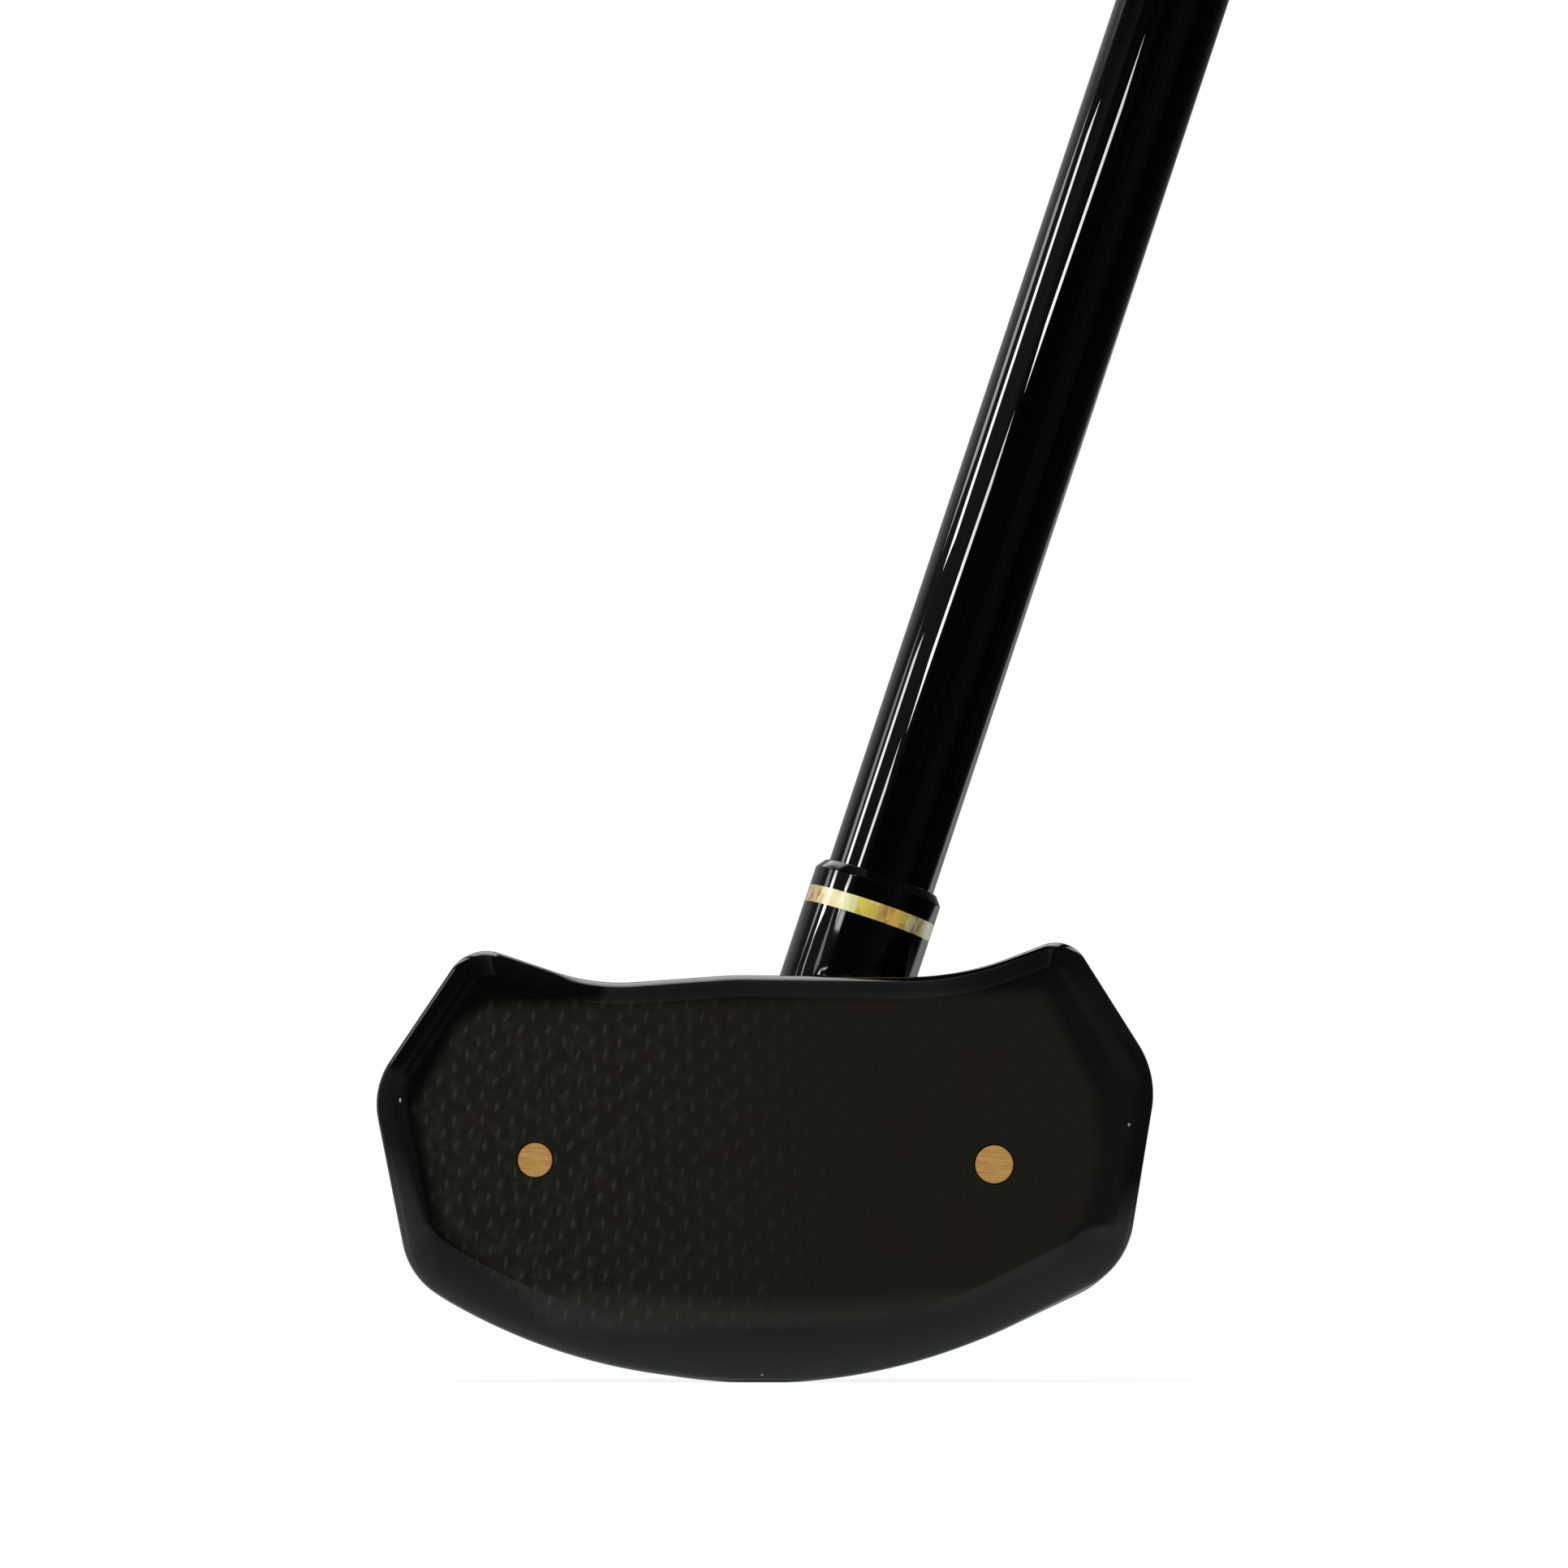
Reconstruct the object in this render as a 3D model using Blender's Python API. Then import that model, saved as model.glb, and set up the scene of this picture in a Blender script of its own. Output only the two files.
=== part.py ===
"""A park golf club, standing at address.

+Z is up, the striking face looks along -Y, the heel is at +X and the toe at -X.
The origin is on the flat in the middle of the sole, below the shaft's own plane.
The pieces on the shaft are drawn along the local Z of the empty called shaft_axis.
"""

import math
from typing import NamedTuple

import bmesh
import bpy
from mathutils import Matrix, Vector
from mathutils.bvhtree import BVHTree

MM = 0.001
GAP = 0.3 * MM  # room left between two pieces that touch

# Face outline, seen from the front
HEAD_WIDTH = 125.0 * MM
HEAD_HEIGHT = 70.1 * MM
SOLE_FLAT_WIDTH = 9.0 * MM

# Its corners before they are rounded: in from the head's side, up from the ground
SOLE_MIDDLE_X = 15.2 * MM
SOLE_MIDDLE_DROP = 3.1 * MM
SOLE_RADIUS = 92.5 * MM
HEEL_FOOT_INSET = 4.5 * MM
HEEL_FOOT_HEIGHT = 18.5 * MM
HEEL_FOOT_RADIUS = 13.1 * MM
HEEL_SHOULDER_OVERHANG = 0.7 * MM
HEEL_SHOULDER_HEIGHT = 49.5 * MM
HEEL_SHOULDER_RADIUS = 15.0 * MM
HEEL_HORN_INSET = 13.4 * MM
HEEL_HORN_RISE = 1.9 * MM
HEEL_HORN_RADIUS = 5.5 * MM
HEEL_DIP_INSET = 31.5 * MM
HEEL_DIP_DEPTH = 5.0 * MM
HEEL_DIP_RADIUS = 46.0 * MM
TOP_MIDDLE_X = -5.1 * MM
TOP_MIDDLE_DEPTH = 4.6 * MM
TOP_MIDDLE_RADIUS = 60.0 * MM
TOE_DIP_INSET = 34.8 * MM
TOE_DIP_DEPTH = 6.2 * MM
TOE_DIP_RADIUS = 33.0 * MM
TOE_HORN_INSET = 14.7 * MM
TOE_HORN_RISE = 0.6 * MM
TOE_HORN_RADIUS = 6.8 * MM
TOE_SHOULDER_OVERHANG = 0.9 * MM
TOE_SHOULDER_HEIGHT = 47.3 * MM
TOE_SHOULDER_RADIUS = 12.4 * MM
TOE_FOOT_INSET = 5.3 * MM
TOE_FOOT_HEIGHT = 16.9 * MM
TOE_FOOT_RADIUS = 12.4 * MM
TOE_SOLE_INSET = 26.5 * MM
TOE_SOLE_HEIGHT = 4.0 * MM
TOE_SOLE_RADIUS = 91.5 * MM

# Width of the border that falls away from the flat of the face, on each side of it
SOLE_BEVEL = 8.0 * MM
HEEL_BEVEL = 8.5 * MM
HEEL_SLOPE_BEVEL = 5.5 * MM
TOE_BEVEL = 5.5 * MM
TOP_BEVEL = 3.7 * MM
EDGE_SHARE = 0.25  # share of that width which is the round edge outside the slope
EDGE_START = math.radians(25.0)  # how steep the slope is where the round edge takes over

# Depths, from the face back
CARBON_THICKNESS = 1.2 * MM
FACE_THICKNESS = 10.0 * MM
SLOPE_DEPTH = 1.9 * MM  # how far the border's slope falls
BEVEL_DEPTH = 4.0 * MM  # and how far it has fallen where its round edge ends
HEAD_DEPTH = 77.0 * MM

# Wooden body: its waist is the height at which its sections are widest
WAIST_HEIGHT = 33.0 * MM
REAR_WAIST_HEIGHT = 23.0 * MM
CROWN_HALF_WIDTH = 60.0 * MM
CROWN_RISE = 31.0 * MM
SHARP_BELOW = 12.0 * MM  # the face's outline is kept below this height all the way back
PLAIN_ABOVE = 40.0 * MM  # and above this one it fades into a plain rounded crown
HORN_FADE = 0.5  # share of the body's depth over which it does
KEEL_START = 0.62  # share of the body's depth at which the sole starts to rise
CROWN_SQUARENESS = 2.3
PLAN_CURVE = (2.6, 2.2)
CROWN_CURVE = (1.7, 2.0)
KEEL_CURVE = (2.0, 2.2)

# Face pins
TOE_PIN_DIAMETER = 5.6 * MM
HEEL_PIN_DIAMETER = 6.2 * MM
TOE_PIN_X = -36.9 * MM
TOE_PIN_Z = 35.5 * MM
HEEL_PIN_X = 36.7 * MM
HEEL_PIN_Z = 34.8 * MM
PIN_LENGTH = 28.0 * MM
PIN_SINK = 0.05 * MM

# Sole plate, its screws and the weights above it
PLATE_LENGTH = 62.0 * MM
PLATE_DEPTH = 38.0 * MM
PLATE_CENTRE_Y = 7.0 * MM
PLATE_CORNER = 6.0 * MM
PLATE_THICKNESS = 3.0 * MM
SCREW_INSET_X = 7.0 * MM
SCREW_INSET_Y = 6.0 * MM
SCREW_HEAD_DIAMETER = 6.4 * MM
SCREW_HEAD_HEIGHT = 1.9 * MM
SCREW_SHANK_DIAMETER = 3.0 * MM
SCREW_LENGTH = 14.0 * MM
SCREW_SINK = 0.45 * MM
SCREW_RIM = 0.2 * MM
RECESS_ARM = 1.7 * MM
RECESS_WAIST = 0.75 * MM
RECESS_DEPTH = 1.1 * MM
RECESS_TAPER = 0.7
WEIGHT_DIAMETER = 14.0 * MM
WEIGHT_HEIGHT = 9.0 * MM
WEIGHT_SPREAD = 32.0 * MM

# Shaft axis: heights below are measured along it from the ground
SHAFT_LEAN = math.radians(18.4)
AXIS_FOOT_X = -8.5 * MM
CLUB_LENGTH = 850.0 * MM
SHAFT_DIAMETER = 18.0 * MM
SHAFT_WALL = 1.5 * MM
BORE_FLOOR = 40.0 * MM
PLUG_LENGTH = 22.0 * MM

# Neck, decorative ring and ferrule
NECK_WALL = 1.5 * MM
NECK_TOP = 79.4 * MM
NECK_SETBACK = 4.9 * MM  # from the back of the face plate to the neck
NECK_FRONT_LEDGE = 3.4 * MM  # crown left between the two
NECK_TOE_FLARE = 2.6 * MM  # how far it widens at the crown, square to the shaft
NECK_HEEL_FLARE = 1.5 * MM
NECK_REAR_FLARE = 7.0 * MM
NECK_FLARE_RISE = 1.3  # how far up it starts to widen, against how far it widens
FILLET_PULL = 1.6
RING_HEIGHT = 2.7 * MM
FERRULE_HEIGHT = 4.4 * MM
FERRULE_CHAMFER = 1.5 * MM
FERRULE_LIP = 0.35 * MM

# Grip
GRIP_LENGTH = 300.0 * MM
COLLAR_HEIGHT = 14.0 * MM
COLLAR_BAND = 5.0 * MM
COLLAR_LIP = 0.8 * MM
CAP_HEIGHT = 6.5 * MM
CAP_ROUND = 2.2 * MM
CAP_OVERHANG = 0.6 * MM
CAP_SPIGOT_LENGTH = 20.0 * MM
UNDERLAY_LOW = 1.4 * MM
UNDERLAY_HIGH = 2.8 * MM
WRAP_THICKNESS = 1.5 * MM
WRAP_LAP = 0.7 * MM
WRAP_PITCH = 24.0 * MM
LAP_COURSE = ((0.0, 0.0), (0.5, 0.6), (0.96, 1.0))  # share of a turn, and of the lap's rise there

# Fineness of the mesh
TURN_SEGMENTS = 36
WRAP_SEGMENTS = 24
SMALL_SEGMENTS = 24
STRAIGHT_STEP = 10.0 * MM
ARC_STEP = math.radians(11.0)
ARC_TOLERANCE = 0.05 * MM
LEAST_RADIUS = 0.6 * MM
LEAST_STRAIGHT = 0.02  # share of an edge that stays straight between two arcs
MERGE_DISTANCE = 0.01 * MM
CREASE = math.radians(20.0)
BODY_RINGS = 17
FILLET_STEPS = 6
BORDER_RINGS = (0.0, 0.16, 0.3, 0.5, 0.75, 1.0)  # shares of the border's depth behind the sheet
ROUND_STEPS = 4


class Finish(NamedTuple):
    """A material's name, colour, roughness and metallic value."""

    name: str
    colour: tuple
    roughness: float
    metallic: float


BLACK_LACQUER = Finish("black_lacquer", (0.006, 0.006, 0.007), 0.12, 0.0)
FERRULE_BLACK = Finish("ferrule_black", (0.007, 0.007, 0.007), 0.15, 0.0)
CARBON = Finish("carbon_weave", (0.012, 0.011, 0.009), 0.25, 0.0)
FACE_RESIN = Finish("face_resin", (0.008, 0.009, 0.010), 0.15, 0.0)
PIN_BRASS = Finish("pin_brass", (0.62, 0.41, 0.16), 0.35, 1.0)
SHELL_GOLD = Finish("gold_shell", (0.75, 0.58, 0.24), 0.22, 0.6)
SOLE_RESIN = Finish("sole_resin", (0.012, 0.012, 0.013), 0.45, 0.0)
SCREW_STEEL = Finish("screw_steel", (0.05, 0.05, 0.055), 0.35, 1.0)
WEIGHT_BRASS = Finish("weight_brass", (0.50, 0.38, 0.18), 0.50, 1.0)
SHAFT_GLOSS = Finish("shaft_gloss", (0.007, 0.006, 0.006), 0.10, 0.0)
PLUG_WOOD = Finish("plug_wood", (0.48, 0.30, 0.15), 0.70, 0.0)
FOAM = Finish("underlay_foam", (0.05, 0.05, 0.05), 0.90, 0.0)
WRAP = Finish("grip_wrap", (0.016, 0.016, 0.017), 0.60, 0.0)
RUBBER = Finish("black_rubber", (0.012, 0.012, 0.012), 0.55, 0.0)


class Corner(NamedTuple):
    """A corner of the face's outline before it is rounded, and the border along the edge after it."""

    x: float
    z: float
    radius: float
    bevel: float


def face_corners():
    """Counter-clockwise from the front, starting below the heel half of the sole."""
    side, top = HEAD_WIDTH / 2, HEAD_HEIGHT
    shoulder_z = HEEL_SHOULDER_HEIGHT
    toe_shoulder_x = -side - TOE_SHOULDER_OVERHANG
    return [
        Corner(SOLE_MIDDLE_X, -SOLE_MIDDLE_DROP, SOLE_RADIUS, SOLE_BEVEL),
        Corner(side - HEEL_FOOT_INSET, HEEL_FOOT_HEIGHT, HEEL_FOOT_RADIUS, HEEL_BEVEL),
        Corner(side + HEEL_SHOULDER_OVERHANG, shoulder_z, HEEL_SHOULDER_RADIUS, HEEL_SLOPE_BEVEL),
        Corner(side - HEEL_HORN_INSET, top + HEEL_HORN_RISE, HEEL_HORN_RADIUS, TOP_BEVEL),
        Corner(side - HEEL_DIP_INSET, top - HEEL_DIP_DEPTH, HEEL_DIP_RADIUS, TOP_BEVEL),
        Corner(TOP_MIDDLE_X, top - TOP_MIDDLE_DEPTH, TOP_MIDDLE_RADIUS, TOP_BEVEL),
        Corner(TOE_DIP_INSET - side, top - TOE_DIP_DEPTH, TOE_DIP_RADIUS, TOP_BEVEL),
        Corner(TOE_HORN_INSET - side, top + TOE_HORN_RISE, TOE_HORN_RADIUS, TOE_BEVEL),
        Corner(toe_shoulder_x, TOE_SHOULDER_HEIGHT, TOE_SHOULDER_RADIUS, TOE_BEVEL),
        Corner(TOE_FOOT_INSET - side, TOE_FOOT_HEIGHT, TOE_FOOT_RADIUS, SOLE_BEVEL),
        Corner(TOE_SOLE_INSET - side, TOE_SOLE_HEIGHT, TOE_SOLE_RADIUS, SOLE_BEVEL),
    ]


def drawn_in(corners, share):
    """The corners' places once each edge has moved inwards by this share of its border."""
    places = []
    for i, corner in enumerate(corners):
        before = corners[i - 1]
        after = corners[(i + 1) % len(corners)]
        here = Vector((corner.x, corner.z))
        arriving = (here - Vector((before.x, before.z))).normalized()
        leaving = (Vector((after.x, after.z)) - here).normalized()
        inward_a = Vector((-arriving.y, arriving.x)) * before.bevel * share
        inward_b = Vector((-leaving.y, leaving.x)) * corner.bevel * share
        turn = arriving.cross(leaving)
        along = (inward_b - inward_a).cross(leaving) / turn
        places.append(here + inward_a + arriving * along)
    return places


def turn_at(places, i):
    """The ways in and out of a corner, and the angle between them, positive to the left."""
    arriving = (places[i] - places[i - 1]).normalized()
    leaving = (places[(i + 1) % len(places)] - places[i]).normalized()
    return arriving, leaving, math.atan2(arriving.cross(leaving), arriving.dot(leaving))


def fillet_reaches(places, radii):
    """How far each corner's arc reaches along its edges, which it may not outgrow."""
    whole = []
    for i, radius in enumerate(radii):
        turn = turn_at(places, i)[2]
        whole.append(radius * abs(math.tan(turn / 2)))
    room = []
    for i, place in enumerate(places):
        following = (i + 1) % len(places)
        length = (places[following] - place).length * (1 - LEAST_STRAIGHT)
        room.append(min(1.0, length / (whole[i] + whole[following])))
    return [reach * min(room[i - 1], room[i]) for i, reach in enumerate(whole)]


def rounded(places, radii, arc_steps, edge_steps):
    """The polygon with an arc at each corner, and its straight stretches divided."""
    reaches = fillet_reaches(places, radii)
    points = []
    for i, place in enumerate(places):
        arriving, leaving, turn = turn_at(places, i)
        start = place - arriving * reaches[i]
        radius = reaches[i] / math.tan(turn / 2)
        centre = start + Vector((-arriving.y, arriving.x)) * radius
        spoke = start - centre
        for k in range(arc_steps[i] + 1):
            c, s = math.cos(turn * k / arc_steps[i]), math.sin(turn * k / arc_steps[i])
            points.append(centre + Vector((spoke.x * c - spoke.y * s, spoke.x * s + spoke.y * c)))
        following = (i + 1) % len(places)
        end = places[following] - leaving * reaches[following]
        last = points[-1]
        for k in range(1, edge_steps[i]):
            points.append(last.lerp(end, k / edge_steps[i]))
    return points


def outline(share=0.0):
    """Points (x, z) of the face's outline, drawn in by a share of each edge's border."""
    corners = face_corners()
    whole = [Vector((corner.x, corner.z)) for corner in corners]
    radii = [corner.radius for corner in corners]
    reaches = fillet_reaches(whole, radii)
    arc_steps, edge_steps, inner_radii = [], [], []
    for i, corner in enumerate(corners):
        turn = turn_at(whole, i)[2]
        finest = min(ARC_STEP, 2 * math.acos(1 - ARC_TOLERANCE / corner.radius))
        arc_steps.append(max(3, math.ceil(abs(turn) / finest)))
        following = (i + 1) % len(corners)
        straight = (whole[following] - whole[i]).length - reaches[i] - reaches[following]
        edge_steps.append(max(1, round(straight / STRAIGHT_STEP)))
        moved = share * (corners[i - 1].bevel + corner.bevel) / 2
        inner_radii.append(max(corner.radius - math.copysign(moved, turn), LEAST_RADIUS))
    full = rounded(whole, radii, arc_steps, edge_steps)
    sagitta = (SOLE_FLAT_WIDTH / 2) ** 2 / (2 * SOLE_RADIUS)
    ground = min(point.y for point in full) + sagitta
    points = rounded(drawn_in(corners, share), inner_radii, arc_steps, edge_steps)
    return [(point.x, max(point.y - ground, share * SOLE_BEVEL)) for point in points]


def bevel_share(depth):
    """How much of the border is left at a depth behind the face: its slope, then its round edge."""
    if depth >= BEVEL_DEPTH:
        return 0.0
    if depth <= SLOPE_DEPTH:
        return 1 - (1 - EDGE_SHARE) * depth / SLOPE_DEPTH
    left = (BEVEL_DEPTH - depth) / (BEVEL_DEPTH - SLOPE_DEPTH)
    turn = math.acos(math.cos(EDGE_START) * left)
    return EDGE_SHARE * (1 - math.sin(turn)) / (1 - math.sin(EDGE_START))


def neck_radius():
    return SHAFT_DIAMETER / 2 + GAP + NECK_WALL


def body_front():
    """Where the wooden body starts, behind the face plate."""
    return -neck_radius() - NECK_SETBACK


def face_front():
    return body_front() - GAP - FACE_THICKNESS


def body_back():
    return face_front() + HEAD_DEPTH


def face_ring(depth):
    y = face_front() + depth
    return [Vector((x, y, z)) for x, z in outline(bevel_share(depth))]


def smoothstep(value):
    t = min(max(value, 0.0), 1.0)
    return t * t * (3 - 2 * t)


def dome(share, curve):
    """Falls from 1 to 0 as share goes from 0 to 1, slowly at first and then steeply."""
    fullness, roundness = curve
    return max(1 - share**fullness, 0.0) ** (1 / roundness)


def superellipse(angle, half_width, half_height, power):
    """Distance from the middle to the edge at an angle."""
    across = abs(math.cos(angle) / half_width) ** power
    upward = abs(math.sin(angle) / half_height) ** power
    return (across + upward) ** (-1 / power)


def body_ring(share):
    """The wooden body's section, from the face plate at 0 to the hindmost point at 1."""
    y = body_front() + (body_back() - body_front()) * share
    waist = WAIST_HEIGHT + (REAR_WAIST_HEIGHT - WAIST_HEIGHT) * share
    width = dome(share, PLAN_CURVE)
    crown = dome(share, CROWN_CURVE)
    keel = dome(max(share - KEEL_START, 0.0) / (1 - KEEL_START), KEEL_CURVE) * waist / WAIST_HEIGHT
    ring = []
    for x, z in outline():
        angle = math.atan2(z - WAIST_HEIGHT, x)
        reach = math.hypot(x, z - WAIST_HEIGHT)
        plain = superellipse(angle, CROWN_HALF_WIDTH, CROWN_RISE, CROWN_SQUARENESS)
        high = smoothstep((z - SHARP_BELOW) / (PLAIN_ABOVE - SHARP_BELOW))
        reach += (plain - reach) * high * smoothstep(share / HORN_FADE)
        side = reach * math.cos(angle) * width
        rise = reach * math.sin(angle)
        rise *= crown if rise > 0 else keel
        ring.append(Vector((side, y, waist + rise)))
    return ring


def skin(rings, around=False):
    """A closed surface over rings of equal count: capped at both ends, or joined end to end."""
    mesh = bmesh.new()
    rows = [[mesh.verts.new(point) for point in ring] for ring in rings]
    count = len(rows[0])
    pairs = list(zip(rows, rows[1:]))
    if around:
        pairs.append((rows[-1], rows[0]))
    else:
        mesh.faces.new(rows[0])
        mesh.faces.new(rows[-1])
    for lower, upper in pairs:
        for k in range(count):
            following = (k + 1) % count
            mesh.faces.new((lower[k], lower[following], upper[following], upper[k]))
    bmesh.ops.recalc_face_normals(mesh, faces=mesh.faces)
    return mesh


def turned(profile, around=False, segments=TURN_SEGMENTS):
    """A turned piece about Z from (radius, height) pairs."""
    rings = []
    for radius, height in profile:
        angles = (2 * math.pi * k / segments for k in range(segments))
        rings.append([Vector((radius * math.cos(a), radius * math.sin(a), height)) for a in angles])
    return skin(rings, around)


def sleeve(outer, bore_low, bore_high, segments=TURN_SEGMENTS):
    """A turned piece with a bore: its outer profile from the bottom up, and the bore's radii."""
    low, high = outer[0][1], outer[-1][1]
    profile = [*outer, (bore_high, high), (bore_low, low)]
    return turned(profile, around=True, segments=segments)


def material_of(finish):
    """The finish's Principled material, made the first time that it is asked for."""
    found = bpy.data.materials.get(finish.name)
    if found:
        return found
    made = bpy.data.materials.new(finish.name)
    made.use_nodes = True
    shader = made.node_tree.nodes["Principled BSDF"]
    shader.inputs["Base Color"].default_value = (*finish.colour, 1.0)
    shader.inputs["Roughness"].default_value = finish.roughness
    shader.inputs["Metallic"].default_value = finish.metallic
    return made


def mesh_from(name, made, finish):
    """A mesh that is smooth but for its creases and the edges of its flat ends."""
    for face in made.faces:
        face.smooth = True
    for edge in made.edges:
        flat_end = any(len(face.verts) > 4 for face in edge.link_faces)
        edge.smooth = edge.calc_face_angle(0.0) < CREASE and not flat_end
    mesh = bpy.data.meshes.new(name)
    made.to_mesh(mesh)
    made.free()
    mesh.materials.append(material_of(finish))
    return mesh


def piece(name, made, finish, parent=None):
    """A named object of the club. Its mesh is a bmesh, or a mesh that it shares."""
    mesh = made if isinstance(made, bpy.types.Mesh) else mesh_from(name, made, finish)
    obj = bpy.data.objects.new(name, mesh)
    bpy.context.scene.collection.objects.link(obj)
    obj.parent = parent
    return obj


def helper(name, made, parent=None):
    """A cutter or a blank, which is no piece of the club."""
    obj = piece(name, made, SOLE_RESIN, parent)
    obj.hide_render = True
    obj.display_type = "WIRE"
    return obj


def boolean(target, other, operation):
    modifier = target.modifiers.new(f"{operation.lower()} {other.name}", "BOOLEAN")
    modifier.operation = operation
    modifier.object = other
    modifier.solver = "EXACT"


def body_blank():
    """The wooden head as turned out, before the neck, the bore and the pockets."""
    shares = [math.sin(math.pi / 2 * k / BODY_RINGS) for k in range(BODY_RINGS)]
    rings = [body_ring(share) for share in shares]
    made = skin(rings)
    hindmost = max(made.faces, key=lambda face: face.calc_center_median().y)
    bmesh.ops.poke(made, faces=[hindmost])
    pole = max(made.verts, key=lambda vert: len(vert.link_edges))
    pole.co.y = body_back()
    return made


def hermite(start, leaving, end, arriving, t):
    """A point on the cubic that leaves start and reaches end in the given directions."""
    return (
        start * (2 * t**3 - 3 * t**2 + 1)
        + leaving * (t**3 - 2 * t**2 + t)
        + end * (3 * t**2 - 2 * t**3)
        + arriving * (t**3 - t**2)
    )


def neck_blank(crown):
    """The neck with a fillet that leaves the crown along its slope and ends along the shaft."""
    to_world = axis_matrix()
    axis = to_world.to_3x3() @ Vector((0, 0, 1))
    radius = neck_radius()
    columns = []
    for k in range(TURN_SEGMENTS):
        angle = 2 * math.pi * k / TURN_SEGMENTS
        spoke = Vector((math.cos(angle), math.sin(angle), 0))
        along_x = NECK_HEEL_FLARE if spoke.x > 0 else NECK_TOE_FLARE
        along_y = NECK_REAR_FLARE if spoke.y > 0 else NECK_SETBACK - NECK_FRONT_LEDGE
        flare = along_x * spoke.x**2 + along_y * spoke.y**2
        above = to_world @ (spoke * (radius + flare) + Vector((0, 0, NECK_TOP)))
        hit, normal, _, distance = crown.ray_cast(above, -axis)
        start = hit - normal * GAP
        height = NECK_TOP - distance + flare * NECK_FLARE_RISE
        end = to_world @ (spoke * radius + Vector((0, 0, height)))
        inward = end - start
        slope = (inward - normal * inward.dot(normal)).normalized()
        leaving = slope * inward.dot(slope) * FILLET_PULL
        arriving = axis * inward.dot(axis) * FILLET_PULL
        column = [to_world @ (spoke * radius + Vector((0, 0, BORE_FLOOR)))]
        for step in range(FILLET_STEPS + 1):
            column.append(hermite(start, leaving, end, arriving, step / FILLET_STEPS))
        column.append(to_world @ (spoke * radius + Vector((0, 0, NECK_TOP))))
        columns.append(column)
    return skin([list(ring) for ring in zip(*columns)])


def axis_matrix():
    foot = Matrix.Translation((AXIS_FOOT_X, 0, 0))
    return foot @ Matrix.Rotation(SHAFT_LEAN, 4, "Y")


def rod_cutter(name, radius, low, high, parent=None):
    return helper(name, turned([(radius, low), (radius, high)]), parent)


def rounded_rectangle(length, depth, radius, low, high):
    """An upright prism round the middle of the sole plate."""
    ring = []
    for corner in range(4):
        side = 1 if corner in (0, 3) else -1
        back = 1 if corner in (0, 1) else -1
        for step in range(ROUND_STEPS + 1):
            angle = math.pi / 2 * (corner + step / ROUND_STEPS)
            x = side * (length / 2 - radius) + radius * math.cos(angle)
            y = back * (depth / 2 - radius) + radius * math.sin(angle)
            ring.append((x, y + PLATE_CENTRE_Y))
    return skin([[Vector((x, y, z)) for x, y in ring] for z in (low, high)])


def sole_prism(name, margin):
    length = PLATE_LENGTH + 2 * margin
    depth = PLATE_DEPTH + 2 * margin
    high = WAIST_HEIGHT / 2
    return helper(name, rounded_rectangle(length, depth, PLATE_CORNER + margin, -high, high))


def make_sole_plate():
    """A plate of even thickness let into the sole, cut to the sole's own curve."""
    blank = helper("sole_skin", body_blank())
    above = helper("sole_plate_top", body_blank())
    above.location.z = PLATE_THICKNESS
    plate = sole_prism("sole_plate", 0.0)
    plate.hide_render = False
    plate.display_type = "TEXTURED"
    boolean(plate, blank, "INTERSECT")
    boolean(plate, above, "DIFFERENCE")
    return plate


def sole_recess():
    above = helper("sole_recess_top", body_blank())
    above.location.z = PLATE_THICKNESS + GAP
    recess = sole_prism("sole_recess", GAP)
    boolean(recess, above, "DIFFERENCE")
    return recess


def cross_recess(angle):
    """Radius of a cross-shaped driver recess at an angle."""
    between_arms = 20 < math.degrees(angle) % 90 < 70
    return RECESS_WAIST if between_arms else RECESS_ARM


def screw_mesh():
    """A countersunk screw along -Z, with its head's face at the origin."""
    head, shank = SCREW_HEAD_DIAMETER / 2, SCREW_SHANK_DIAMETER / 2
    angles = [2 * math.pi * k / SMALL_SEGMENTS for k in range(SMALL_SEGMENTS)]
    recess = [cross_recess(angle) for angle in angles]
    outside = [
        (shank / 2, -SCREW_LENGTH),
        (shank, -SCREW_LENGTH + SCREW_SHANK_DIAMETER),
        (shank, -SCREW_HEAD_HEIGHT),
        (head, -SCREW_RIM),
        (head, 0.0),
    ]
    rows = [([radius] * SMALL_SEGMENTS, height) for radius, height in outside]
    rows.append((recess, 0.0))
    rows.append(([radius * RECESS_TAPER for radius in recess], -RECESS_DEPTH))
    rings = []
    for radii, height in rows:
        rings.append([Vector((r * math.cos(a), r * math.sin(a), height)) for r, a in zip(radii, angles)])
    return skin(rings)


def screw_hole():
    """The countersunk hole that such a screw leaves, with its clearance."""
    head = SCREW_HEAD_DIAMETER / 2 + GAP
    shank = SCREW_SHANK_DIAMETER / 2 + GAP
    above_sole = 3 * SCREW_SINK
    return turned(
        [
            (shank, -SCREW_LENGTH - GAP),
            (shank, -SCREW_HEAD_HEIGHT - GAP),
            (head, -SCREW_RIM),
            (head, above_sole),
        ]
    )


def sole_at(x):
    """Height and slope of the sole's curve at a place along the face."""
    curve = sorted(point for point in outline() if point[1] < SHARP_BELOW)
    for (x0, z0), (x1, z1) in zip(curve, curve[1:]):
        if x0 <= x < x1:
            slope = (z1 - z0) / (x1 - x0)
            return z0 + slope * (x - x0), math.atan(slope)
    return 0.0, 0.0


def screw_matrix(x, y):
    """A screw's place in the sole: its local Z points straight out of it."""
    height, slope = sole_at(x)
    place = Matrix.Translation((x, y, height)) @ Matrix.Rotation(math.pi - slope, 4, "Y")
    return place @ Matrix.Translation((0, 0, -SCREW_SINK))


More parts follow.
